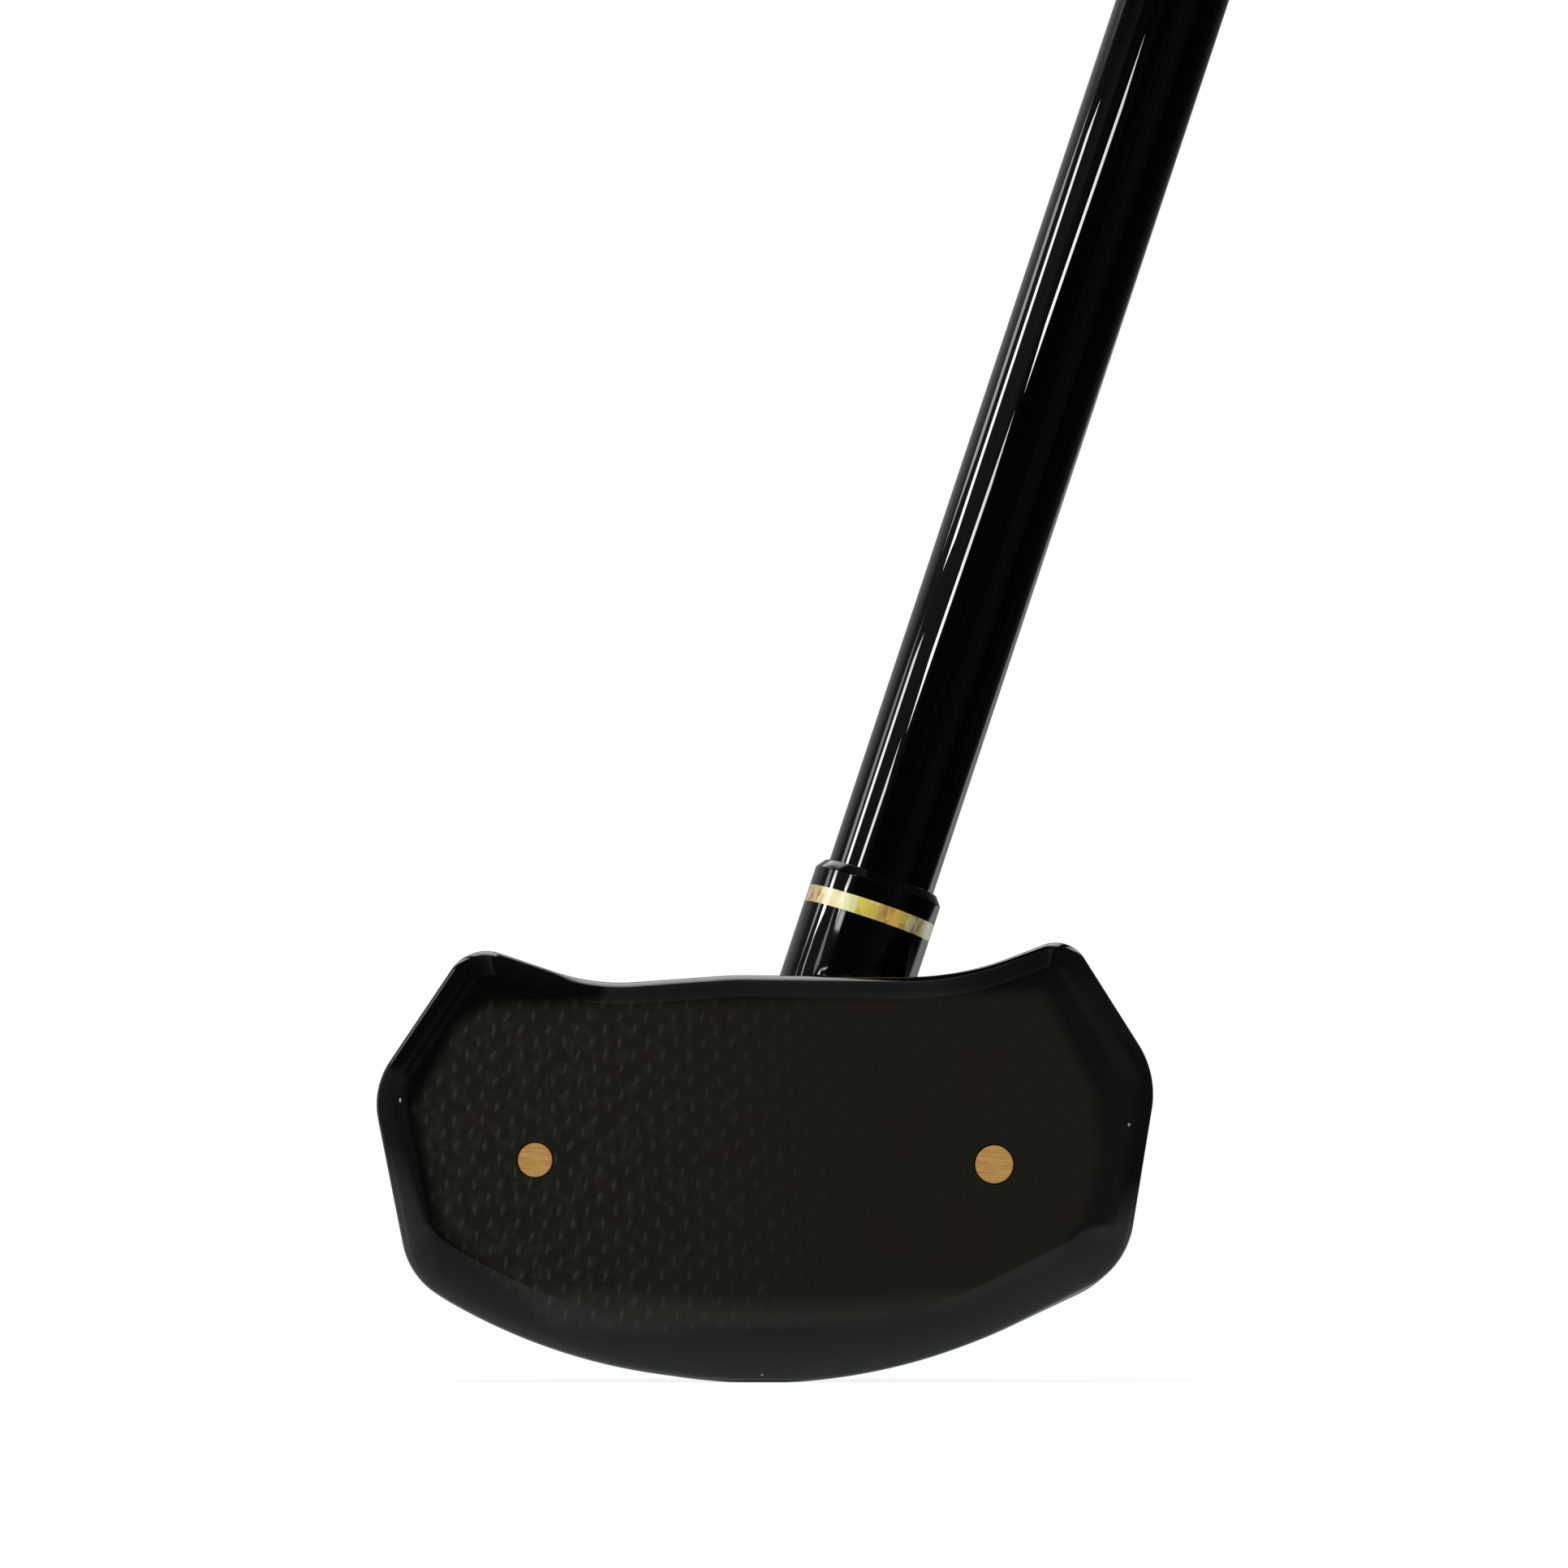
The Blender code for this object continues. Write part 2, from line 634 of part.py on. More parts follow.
def make_pins(targets):
    """Brass rods driven through the face into the wood."""
    for name, x, z, diameter in (
        ("toe_pin", TOE_PIN_X, TOE_PIN_Z, TOE_PIN_DIAMETER),
        ("heel_pin", HEEL_PIN_X, HEEL_PIN_Z, HEEL_PIN_DIAMETER),
    ):
        place = Matrix.Translation((x, face_front(), z)) @ Matrix.Rotation(-math.pi / 2, 4, "X")
        radius = diameter / 2
        rod = turned([(radius, PIN_SINK), (radius, PIN_LENGTH)], segments=SMALL_SEGMENTS)
        pin = piece(name, rod, PIN_BRASS)
        pin.matrix_world = place
        hole = rod_cutter(f"{name}_hole", radius + GAP, -GAP, PIN_LENGTH + GAP)
        hole.matrix_world = place
        for target in targets:
            boolean(target, hole, "DIFFERENCE")


def make_weights(body):
    """Two brass slugs in pockets above the sole plate, which holds them in."""
    radius = WEIGHT_DIAMETER / 2
    for name, side in (("toe_weight", -1), ("heel_weight", 1)):
        x = side * WEIGHT_SPREAD / 2
        floor = sole_at(x + side * radius)[0] + PLATE_THICKNESS + 2 * GAP
        weight = piece(name, turned([(radius, 0.0), (radius, WEIGHT_HEIGHT)]), WEIGHT_BRASS)
        weight.location = (x, PLATE_CENTRE_Y, floor)
        pocket = rod_cutter(f"{name}_pocket", radius + GAP, GAP - floor, WEIGHT_HEIGHT + GAP)
        pocket.location = weight.location
        boolean(body, pocket, "DIFFERENCE")


def make_screws(plate, body):
    mesh = mesh_from("sole_screw", screw_mesh(), SCREW_STEEL)
    hole_mesh = mesh_from("sole_screw_hole", screw_hole(), SCREW_STEEL)
    sides = [(toe_heel, front_back) for toe_heel in (-1, 1) for front_back in (-1, 1)]
    for number, (toe_heel, front_back) in enumerate(sides, start=1):
        x = toe_heel * (PLATE_LENGTH / 2 - SCREW_INSET_X)
        y = front_back * (PLATE_DEPTH / 2 - SCREW_INSET_Y) + PLATE_CENTRE_Y
        screw = piece(f"sole_screw_{number}", mesh, SCREW_STEEL)
        screw.matrix_world = screw_matrix(x, y)
        hole = helper(f"sole_screw_hole_{number}", hole_mesh)
        hole.matrix_world = screw_matrix(x, y)
        boolean(plate, hole, "DIFFERENCE")
        boolean(body, hole, "DIFFERENCE")


def make_face():
    """The carbon sheet and the resin plate behind it, which share one sloped border."""
    carbon = piece("carbon_face", skin([face_ring(0.0), face_ring(CARBON_THICKNESS)]), CARBON)
    start = CARBON_THICKNESS + GAP
    behind = [start + (BEVEL_DEPTH - start) * share for share in BORDER_RINGS]
    behind.append(FACE_THICKNESS)
    plate = piece("face_plate", skin([face_ring(depth) for depth in behind]), FACE_RESIN)
    return carbon, plate


def make_body(shaft_axis):
    body = piece("head_body", body_blank(), BLACK_LACQUER)
    crown = body_blank()
    neck = helper("neck_blank", neck_blank(BVHTree.FromBMesh(crown)))
    crown.free()
    boolean(body, neck, "UNION")
    mouth = NECK_TOP + RING_HEIGHT
    bore = rod_cutter("shaft_bore", SHAFT_DIAMETER / 2 + GAP, BORE_FLOOR - GAP, mouth, shaft_axis)
    boolean(body, bore, "DIFFERENCE")
    return body


def make_neck_trim(shaft_axis):
    """The decorative ring on the neck's end and the ferrule above it."""
    outer, bore = neck_radius(), SHAFT_DIAMETER / 2 + GAP
    low = NECK_TOP + GAP
    high = low + RING_HEIGHT
    piece("neck_ring", sleeve([(outer, low), (outer, high)], bore, bore), SHELL_GOLD, shaft_axis)
    foot = high + GAP
    top = foot + FERRULE_HEIGHT
    profile = [(outer, foot), (outer, top - FERRULE_CHAMFER), (bore + FERRULE_LIP, top)]
    piece("ferrule", sleeve(profile, bore, bore), FERRULE_BLACK, shaft_axis)


def make_shaft(shaft_axis):
    outer = SHAFT_DIAMETER / 2
    inner = outer - SHAFT_WALL
    top = CLUB_LENGTH - CAP_HEIGHT - GAP
    tube = sleeve([(outer, BORE_FLOOR), (outer, top)], inner, inner)
    piece("shaft", tube, SHAFT_GLOSS, shaft_axis)
    plug_low = BORE_FLOOR + GAP
    plug = turned([(inner - GAP, plug_low), (inner - GAP, plug_low + PLUG_LENGTH)])
    piece("tip_plug", plug, PLUG_WOOD, shaft_axis)


def wrap_radius(height):
    """Radius of the underlay at a height, before the wrap: it thickens towards the butt."""
    low, high = CLUB_LENGTH - GRIP_LENGTH, CLUB_LENGTH - CAP_HEIGHT
    share = min(max((height - low) / (high - low), 0.0), 1.0)
    thickness = UNDERLAY_LOW + (UNDERLAY_HIGH - UNDERLAY_LOW) * share
    return SHAFT_DIAMETER / 2 + GAP + thickness


def band_profile(low, high, lead):
    """Radius and height up one side of the band, whose laps lie a lead higher, in turns."""
    wall = GAP + WRAP_THICKNESS
    foot, head = wrap_radius(low) + wall, wrap_radius(high) + wall
    profile = [(foot, low)]
    for turn in range(-1, math.ceil((high - low) / WRAP_PITCH) + 1):
        for phase, lap in LAP_COURSE:
            height = low + WRAP_PITCH * (turn + phase + lead)
            if height <= low + GAP:
                profile.append((foot, low))
            elif height >= high - GAP:
                profile.append((head, high))
            else:
                profile.append((wrap_radius(height) + wall + WRAP_LAP * lap, height))
    profile += [(head, high), (wrap_radius(high) + GAP, high), (wrap_radius(low) + GAP, low)]
    return profile


def wrapped_band(low, high):
    """A band laid round the grip in overlapping turns: each turn rises to its lap edge."""
    mesh = bmesh.new()
    columns = []
    for k in range(WRAP_SEGMENTS + 1):
        # the last column lies on the first, one turn of the band further up
        angle = 2 * math.pi * k / WRAP_SEGMENTS
        profile = band_profile(low, high, k / WRAP_SEGMENTS)
        columns.append([mesh.verts.new((r * math.cos(angle), r * math.sin(angle), z)) for r, z in profile])
    for here, there in zip(columns, columns[1:]):
        for row in range(len(here)):
            after = (row + 1) % len(here)
            mesh.faces.new((here[row], there[row], there[after], here[after]))
    bmesh.ops.remove_doubles(mesh, verts=mesh.verts, dist=MERGE_DISTANCE)
    bmesh.ops.dissolve_degenerate(mesh, edges=mesh.edges, dist=MERGE_DISTANCE / 2)
    bmesh.ops.recalc_face_normals(mesh, faces=mesh.faces)
    return mesh


def make_grip(shaft_axis):
    low = CLUB_LENGTH - GRIP_LENGTH + COLLAR_HEIGHT
    high = CLUB_LENGTH - CAP_HEIGHT - GAP
    bore = SHAFT_DIAMETER / 2 + GAP
    foam = sleeve([(wrap_radius(low), low), (wrap_radius(high), high)], bore, bore)
    piece("grip_underlay", foam, FOAM, shaft_axis)
    piece("grip_wrap", wrapped_band(low, high), WRAP, shaft_axis)
    top = low - GAP
    wide = wrap_radius(low) + GAP + WRAP_THICKNESS
    profile = [
        (bore + COLLAR_LIP, low - COLLAR_HEIGHT),
        (wide, top - COLLAR_BAND - COLLAR_LIP),
        (wide + COLLAR_LIP, top - COLLAR_BAND),
        (wide + COLLAR_LIP, top - COLLAR_LIP),
        (wide, top),
    ]
    piece("grip_collar", sleeve(profile, bore, bore), RUBBER, shaft_axis)


def make_cap(shaft_axis):
    foot = CLUB_LENGTH - CAP_HEIGHT
    spigot = SHAFT_DIAMETER / 2 - SHAFT_WALL - GAP
    wide = wrap_radius(foot) + GAP + WRAP_THICKNESS + CAP_OVERHANG
    profile = [(spigot, foot - CAP_SPIGOT_LENGTH), (spigot, foot), (wide, foot)]
    for step in range(ROUND_STEPS + 1):
        angle = math.pi / 2 * step / ROUND_STEPS
        radius = wide - CAP_ROUND * (1 - math.cos(angle))
        profile.append((radius, CLUB_LENGTH - CAP_ROUND * (1 - math.sin(angle))))
    piece("butt_cap", turned(profile), RUBBER, shaft_axis)


def clear_scene():
    for obj in list(bpy.data.objects):
        bpy.data.objects.remove(obj)


def main():
    clear_scene()
    shaft_axis = bpy.data.objects.new("shaft_axis", None)
    bpy.context.scene.collection.objects.link(shaft_axis)
    shaft_axis.matrix_world = axis_matrix()
    carbon, face = make_face()
    body = make_body(shaft_axis)
    make_pins([carbon, face, body])
    boolean(body, sole_recess(), "DIFFERENCE")
    plate = make_sole_plate()
    make_weights(body)
    make_screws(plate, body)
    make_neck_trim(shaft_axis)
    make_shaft(shaft_axis)
    make_grip(shaft_axis)
    make_cap(shaft_axis)


main()
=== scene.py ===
"""A park golf club at address, dressed for a photograph of its head and lower shaft.

Lengths are in metres. +Z is up, the striking face looks along -Y and the heel is at +X.
Pieces on the shaft are drawn along their own local Z, which is the shaft's axis.
"""

import math
from typing import NamedTuple

import bmesh
import bpy
from mathutils import Matrix, Vector
from mathutils.bvhtree import BVHTree

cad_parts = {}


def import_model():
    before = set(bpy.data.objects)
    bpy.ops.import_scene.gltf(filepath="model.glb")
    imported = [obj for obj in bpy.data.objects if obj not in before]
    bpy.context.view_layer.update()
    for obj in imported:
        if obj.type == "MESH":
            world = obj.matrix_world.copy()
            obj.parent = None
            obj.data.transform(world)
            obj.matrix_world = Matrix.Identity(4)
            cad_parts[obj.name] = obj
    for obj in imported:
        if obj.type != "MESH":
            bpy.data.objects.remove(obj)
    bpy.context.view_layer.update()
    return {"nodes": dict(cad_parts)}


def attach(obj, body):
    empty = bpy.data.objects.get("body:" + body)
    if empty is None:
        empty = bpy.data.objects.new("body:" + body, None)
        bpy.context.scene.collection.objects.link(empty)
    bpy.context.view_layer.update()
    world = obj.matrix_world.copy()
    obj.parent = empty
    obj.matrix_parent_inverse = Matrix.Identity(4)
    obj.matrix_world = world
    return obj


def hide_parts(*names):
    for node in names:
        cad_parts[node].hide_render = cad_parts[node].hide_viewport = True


MM = 0.001
GAP = 0.3 * MM  # room between touching solids in the frame
SEAM = 0.01 * MM  # what is left of it between two visible pieces

# Face outline, seen from the front
HEAD_WIDTH = 125.0 * MM
HEAD_HEIGHT = 70.1 * MM
SOLE_FLAT_WIDTH = 9.0 * MM
SOLE_BEVEL = 8.0 * MM
HEEL_BEVEL = 8.5 * MM
HEEL_SLOPE_BEVEL = 5.5 * MM
TOE_BEVEL = 5.5 * MM
TOP_BEVEL = 3.7 * MM

# Depths, from the face back
CARBON_THICKNESS = 1.2 * MM
FACE_THICKNESS = 10.0 * MM
BEVEL_DEPTH = 4.0 * MM
ROLL_CURVE = (1.35, 1.7)  # how slowly the border's roll starts and how steeply it ends
HEAD_DEPTH = 77.0 * MM

# Wooden body
WAIST_HEIGHT = 33.0 * MM
REAR_WAIST_HEIGHT = 23.0 * MM
CROWN_HALF_WIDTH = 60.0 * MM
CROWN_RISE = 31.0 * MM
SHARP_BELOW = 12.0 * MM
PLAIN_ABOVE = 40.0 * MM
HORN_FADE = 0.5
KEEL_START = 0.62
CROWN_SQUARENESS = 2.3
PLAN_CURVE = (2.6, 2.2)
CROWN_CURVE = (1.7, 2.0)
KEEL_CURVE = (2.0, 2.2)

# Face pins
PINS = (("toe_pin", -36.9 * MM, 35.5 * MM, 5.6 * MM), ("heel_pin", 36.7 * MM, 34.8 * MM, 6.2 * MM))
PIN_LENGTH = 28.0 * MM
PIN_SINK = 0.03 * MM
PIN_ROOM = 0.16 * MM
PIN_EDGE = 0.22 * MM

# Sole plate, its screws and the weights above it
PLATE_LENGTH = 62.0 * MM
PLATE_DEPTH = 38.0 * MM
PLATE_CENTRE_Y = 7.0 * MM
PLATE_CORNER = 6.0 * MM
PLATE_THICKNESS = 3.0 * MM
PLATE_ROOM = 0.1 * MM
SCREW_INSET_X = 7.0 * MM
SCREW_INSET_Y = 6.0 * MM
SCREW_HEAD_DIAMETER = 6.4 * MM
SCREW_HEAD_HEIGHT = 1.9 * MM
SCREW_SHANK_DIAMETER = 3.0 * MM
SCREW_LENGTH = 14.0 * MM
SCREW_SINK = 0.45 * MM
SCREW_RIM = 0.2 * MM
RECESS_ARM = 1.7 * MM
RECESS_WAIST = 0.75 * MM
RECESS_DEPTH = 1.1 * MM
RECESS_TAPER = 0.7
RECESS_ARMS_WITHIN = 20  # degrees to each side of an arm
WEIGHT_DIAMETER = 14.0 * MM
WEIGHT_HEIGHT = 9.0 * MM
WEIGHT_SPREAD = 32.0 * MM

# Shaft axis: heights below are measured along it from the ground
SHAFT_LEAN = math.radians(18.4)
AXIS_FOOT_X = -8.5 * MM
CLUB_LENGTH = 850.0 * MM
SHAFT_RADIUS = 9.0 * MM
SHAFT_WALL = 1.5 * MM
BORE_FLOOR = 40.0 * MM

# Neck, decorative ring and ferrule
NECK_RADIUS = 10.8 * MM
NECK_TOP = 79.4 * MM
NECK_SETBACK = 4.9 * MM
NECK_FRONT_LEDGE = 3.4 * MM
NECK_TOE_FLARE = 2.6 * MM
NECK_HEEL_FLARE = 1.5 * MM
NECK_REAR_FLARE = 7.0 * MM
NECK_FLARE_RISE = 1.3
FILLET_PULL = 1.6
RING_HEIGHT = 2.7 * MM
FERRULE_HEIGHT = 4.4 * MM
FERRULE_CHAMFER = 1.5 * MM
FERRULE_LIP = 0.35 * MM
FERRULE_ROUND = 0.14 * MM

# Grip
GRIP_LENGTH = 300.0 * MM
COLLAR_HEIGHT = 14.0 * MM
COLLAR_BAND = 5.0 * MM
COLLAR_LIP = 0.8 * MM
RUBBER_ROUND = 0.3 * MM
CAP_HEIGHT = 6.5 * MM
CAP_ROUND = 2.2 * MM
CAP_OVERHANG = 0.6 * MM
CAP_SPIGOT_LENGTH = 20.0 * MM
CAP_DIMPLE = ((2.4 * MM, 0.0), (2.0 * MM, 0.4 * MM), (1.8 * MM, 1.6 * MM))  # radius and depth
UNDERLAY_LOW = 1.4 * MM
UNDERLAY_HIGH = 2.8 * MM
WRAP_THICKNESS = 1.5 * MM
WRAP_LAP = 0.7 * MM
WRAP_PITCH = 24.0 * MM
# share of a turn, and of the lap's rise there
LAP_COURSE = ((0.0, 0.0), (0.2, 0.3), (0.5, 0.62), (0.8, 0.9), (0.93, 1.0), (0.965, 0.93), (0.985, 0.6))

# Fineness of the meshes
TURN_SEGMENTS = 128
SMALL_SEGMENTS = 72
STRAIGHT_STEP = 2.5 * MM
ARC_STEP = math.radians(3.0)
ARC_TOLERANCE = 0.005 * MM
LEAST_RADIUS = 0.6 * MM
LEAST_STRAIGHT = 0.02
MERGE_DISTANCE = 0.01 * MM
CREASE = math.radians(28.0)
FACE_CREASE = math.radians(10.0)
BODY_RINGS = 56
FILLET_STEPS = 20
NECK_STEPS = 6
ROUND_STEPS = 10
ROLL_STEPS = 48
SHAFT_STEPS = 24
CORNER_ROOM = 2.2  # a line's length over the longest rounding at each of its ends
PLATE_STEPS = 3

# The photograph's camera
CAMERA_PLACE = Vector((0.003, -1.0222, 0.0088))
CAMERA_TARGET = Vector((0.003, -0.026, 0.0960))
CAMERA_SENSOR = 36.0
CAMERA_LENS = 142.5
CAMERA_REACH = 50.0


class Corner(NamedTuple):
    """A corner of the face's outline before it is rounded, and the bevel of the edge after it."""

    x: float
    z: float
    radius: float
    bevel: float


def face_corners():
    """Counter-clockwise from the front, starting below the heel half of the sole."""
    side, top = HEAD_WIDTH / 2 / MM, HEAD_HEIGHT / MM
    corners = (
        (15.2, -3.1, 92.5, SOLE_BEVEL),
        (side - 4.5, 18.5, 13.1, HEEL_BEVEL),
        (side + 0.7, 49.5, 15.0, HEEL_SLOPE_BEVEL),
        (side - 13.4, top + 1.9, 5.5, TOP_BEVEL),
        (side - 31.5, top - 5.0, 46.0, TOP_BEVEL),
        (-5.1, top - 4.6, 60.0, TOP_BEVEL),
        (34.8 - side, top - 6.2, 33.0, TOP_BEVEL),
        (14.7 - side, top + 0.6, 6.8, TOE_BEVEL),
        (-side - 0.9, 47.3, 12.4, TOE_BEVEL),
        (5.3 - side, 16.9, 12.4, SOLE_BEVEL),
        (26.5 - side, 4.0, 91.5, SOLE_BEVEL),
    )
    return [Corner(x * MM, z * MM, radius * MM, bevel) for x, z, radius, bevel in corners]


def drawn_in(corners, share):
    """The corners' places once each edge has moved inwards by this share of its bevel."""
    places = []
    for i, corner in enumerate(corners):
        before = corners[i - 1]
        after = corners[(i + 1) % len(corners)]
        here = Vector((corner.x, corner.z))
        arriving = (here - Vector((before.x, before.z))).normalized()
        leaving = (Vector((after.x, after.z)) - here).normalized()
        inward_a = Vector((-arriving.y, arriving.x)) * before.bevel * share
        inward_b = Vector((-leaving.y, leaving.x)) * corner.bevel * share
        turn = arriving.cross(leaving)
        along = (inward_b - inward_a).cross(leaving) / turn
        places.append(here + inward_a + arriving * along)
    return places


def turn_at(places, i):
    """The ways in and out of a corner, and the angle between them, positive to the left."""
    arriving = (places[i] - places[i - 1]).normalized()
    leaving = (places[(i + 1) % len(places)] - places[i]).normalized()
    return arriving, leaving, math.atan2(arriving.cross(leaving), arriving.dot(leaving))


def fillet_reaches(places, radii):
    """How far each corner's arc reaches along its edges, which it may not outgrow."""
    whole = []
    for i, radius in enumerate(radii):
        turn = turn_at(places, i)[2]
        whole.append(radius * abs(math.tan(turn / 2)))
    room = []
    for i, place in enumerate(places):
        following = (i + 1) % len(places)
        length = (places[following] - place).length * (1 - LEAST_STRAIGHT)
        room.append(min(1.0, length / (whole[i] + whole[following])))
    return [reach * min(room[i - 1], room[i]) for i, reach in enumerate(whole)]


def rounded(places, radii, arc_steps, edge_steps):
    """The polygon with an arc at each corner, and its straight stretches divided."""
    reaches = fillet_reaches(places, radii)
    points = []
    for i, place in enumerate(places):
        arriving, leaving, turn = turn_at(places, i)
        start = place - arriving * reaches[i]
        radius = reaches[i] / math.tan(turn / 2)
        centre = start + Vector((-arriving.y, arriving.x)) * radius
        spoke = start - centre
        for k in range(arc_steps[i] + 1):
            c, s = math.cos(turn * k / arc_steps[i]), math.sin(turn * k / arc_steps[i])
            points.append(centre + Vector((spoke.x * c - spoke.y * s, spoke.x * s + spoke.y * c)))
        following = (i + 1) % len(places)
        end = places[following] - leaving * reaches[following]
        last = points[-1]
        for k in range(1, edge_steps[i]):
            points.append(last.lerp(end, k / edge_steps[i]))
    return points


def outline(share=0.0):
    """Points (x, z) of the face's outline, drawn in by a share of each edge's bevel."""
    corners = face_corners()
    whole = [Vector((corner.x, corner.z)) for corner in corners]
    radii = [corner.radius for corner in corners]
    reaches = fillet_reaches(whole, radii)
    arc_steps, edge_steps, inner_radii = [], [], []
    for i, corner in enumerate(corners):
        turn = turn_at(whole, i)[2]
        finest = min(ARC_STEP, 2 * math.acos(1 - ARC_TOLERANCE / corner.radius))
        arc_steps.append(max(3, math.ceil(abs(turn) / finest)))
        following = (i + 1) % len(corners)
        straight = (whole[following] - whole[i]).length - reaches[i] - reaches[following]
        edge_steps.append(max(1, round(straight / STRAIGHT_STEP)))
        moved = share * (corners[i - 1].bevel + corner.bevel) / 2
        inner_radii.append(max(corner.radius - math.copysign(moved, turn), LEAST_RADIUS))
    full = rounded(whole, radii, arc_steps, edge_steps)
    sagitta = (SOLE_FLAT_WIDTH / 2) ** 2 / (2 * corners[0].radius)
    ground = min(point.y for point in full) + sagitta
    points = rounded(drawn_in(corners, share), inner_radii, arc_steps, edge_steps)
    return [(point.x, max(point.y - ground, share * SOLE_BEVEL)) for point in points]


def body_front():
    """Where the wooden body starts, behind the face plate."""
    return -NECK_RADIUS - NECK_SETBACK


def face_front():
    return body_front() - GAP - FACE_THICKNESS


def body_back():
    return face_front() + HEAD_DEPTH


def smoothstep(value):
    t = min(max(value, 0.0), 1.0)
    return t * t * (3 - 2 * t)


def dome(share, curve):
    """Falls from 1 to 0 as share goes from 0 to 1, slowly at first and then steeply."""
    fullness, roundness = curve
    return max(1 - share**fullness, 0.0) ** (1 / roundness)


def superellipse(angle, half_width, half_height, power):
    """Distance from the middle to the edge at an angle."""
    across = abs(math.cos(angle) / half_width) ** power
    upward = abs(math.sin(angle) / half_height) ** power
    return (across + upward) ** (-1 / power)


def body_ring(share):
    """The wooden body's section, from the face plate at 0 to the hindmost point at 1."""
    y = body_front() + (body_back() - body_front()) * share
    waist = WAIST_HEIGHT + (REAR_WAIST_HEIGHT - WAIST_HEIGHT) * share
    width = dome(share, PLAN_CURVE)
    crown = dome(share, CROWN_CURVE)
    keel = dome(max(share - KEEL_START, 0.0) / (1 - KEEL_START), KEEL_CURVE) * waist / WAIST_HEIGHT
    ring = []
    for x, z in outline():
        angle = math.atan2(z - WAIST_HEIGHT, x)
        reach = math.hypot(x, z - WAIST_HEIGHT)
        plain = superellipse(angle, CROWN_HALF_WIDTH, CROWN_RISE, CROWN_SQUARENESS)
        high = smoothstep((z - SHARP_BELOW) / (PLAIN_ABOVE - SHARP_BELOW))
        reach += (plain - reach) * high * smoothstep(share / HORN_FADE)
        side = reach * math.cos(angle) * width
        rise = reach * math.sin(angle)
        rise *= crown if rise > 0 else keel
        ring.append(Vector((side, y, waist + rise)))
    return ring


def hermite(start, leaving, end, arriving, t):
    """A point on the cubic that leaves start and reaches end in the given directions."""
    return (
        start * (2 * t**3 - 3 * t**2 + 1)
        + leaving * (t**3 - 2 * t**2 + t)
        + end * (3 * t**2 - 2 * t**3)
        + arriving * (t**3 - t**2)
    )


def skin(rings, around=False):
    """A closed surface over rings of equal count: capped at both ends, or joined end to end."""
    mesh = bmesh.new()
    rows = [[mesh.verts.new(point) for point in ring] for ring in rings]
    count = len(rows[0])
    pairs = list(zip(rows, rows[1:]))
    if around:
        pairs.append((rows[-1], rows[0]))
    else:
        mesh.faces.new(rows[0])
        mesh.faces.new(rows[-1])
    for lower, upper in pairs:
        for k in range(count):
            following = (k + 1) % count
            mesh.faces.new((lower[k], lower[following], upper[following], upper[k]))
    bmesh.ops.recalc_face_normals(mesh, faces=mesh.faces)
    return mesh


def round_points(radii, height):
    """A level ring of points round Z, evenly spaced and each at its own radius."""
    angles = (2 * math.pi * k / len(radii) for k in range(len(radii)))
    return [Vector((r * math.cos(a), r * math.sin(a), height)) for r, a in zip(radii, angles)]


def turned(profile, around=False, segments=TURN_SEGMENTS):
    """A turned piece about Z from (radius, height) pairs."""
    return skin([round_points([radius] * segments, height) for radius, height in profile], around)


def sleeve(outer, bore):
    """A turned piece with a straight bore, from its outer profile from the bottom up."""
    low, high = outer[0][1], outer[-1][1]
    return turned([*outer, (bore, high), (bore, low)], around=True)


def soft_corners(profile, radius, steps=4):
    """The profile with each inner corner of it rounded off."""
    points = [Vector(point) for point in profile]
    soft = [points[0]]
    for before, here, after in zip(points, points[1:], points[2:]):
        back = min(radius, (before - here).length / CORNER_ROOM)
        forth = min(radius, (after - here).length / CORNER_ROOM)
        start = here + (before - here).normalized() * back
        end = here + (after - here).normalized() * forth
        for k in range(steps + 1):
            t = k / steps
            soft.append(start * (1 - t) ** 2 + here * 2 * t * (1 - t) + end * t**2)
    soft.append(points[-1])
    return [(point.x, point.y) for point in soft]


def mesh_from(name, made, crease=CREASE):
    """A mesh that is smooth but for its creases and the edges of its flat ends."""
    for face in made.faces:
        face.smooth = True
    for edge in made.edges:
        flat_end = any(len(face.verts) > 4 for face in edge.link_faces)
        edge.smooth = edge.calc_face_angle(0.0) < crease and not flat_end
    mesh = bpy.data.meshes.new(name)
    made.to_mesh(mesh)
    made.free()
    return mesh


def thing(name, made):
    mesh = made if isinstance(made, bpy.types.Mesh) else mesh_from(name, made)
    obj = bpy.data.objects.new(name, mesh)
    bpy.context.scene.collection.objects.link(obj)
    return obj


def boolean(target, other, operation):
    modifier = target.modifiers.new(f"{operation.lower()} {other.name}", "BOOLEAN")
    modifier.operation = operation
    modifier.object = other
    modifier.solver = "EXACT"


def settled(obj):
    """Turns a piece's modifiers into its mesh."""
    depsgraph = bpy.context.evaluated_depsgraph_get()
    mesh = bpy.data.meshes.new_from_object(obj.evaluated_get(depsgraph))
    obj.modifiers.clear()
    obj.data = mesh


def crease_again(obj, crease=CREASE):
    """Marks the creases of a mesh that was cut."""
    mesh = bmesh.new()
    mesh.from_mesh(obj.data)
    bmesh.ops.remove_doubles(mesh, verts=mesh.verts, dist=MERGE_DISTANCE / 4)
    bmesh.ops.dissolve_degenerate(mesh, edges=mesh.edges, dist=MERGE_DISTANCE / 4)
    for face in mesh.faces:
        face.smooth = True
    for edge in mesh.edges:
        edge.smooth = edge.calc_face_angle(0.0) < crease
    mesh.to_mesh(obj.data)
    mesh.free()


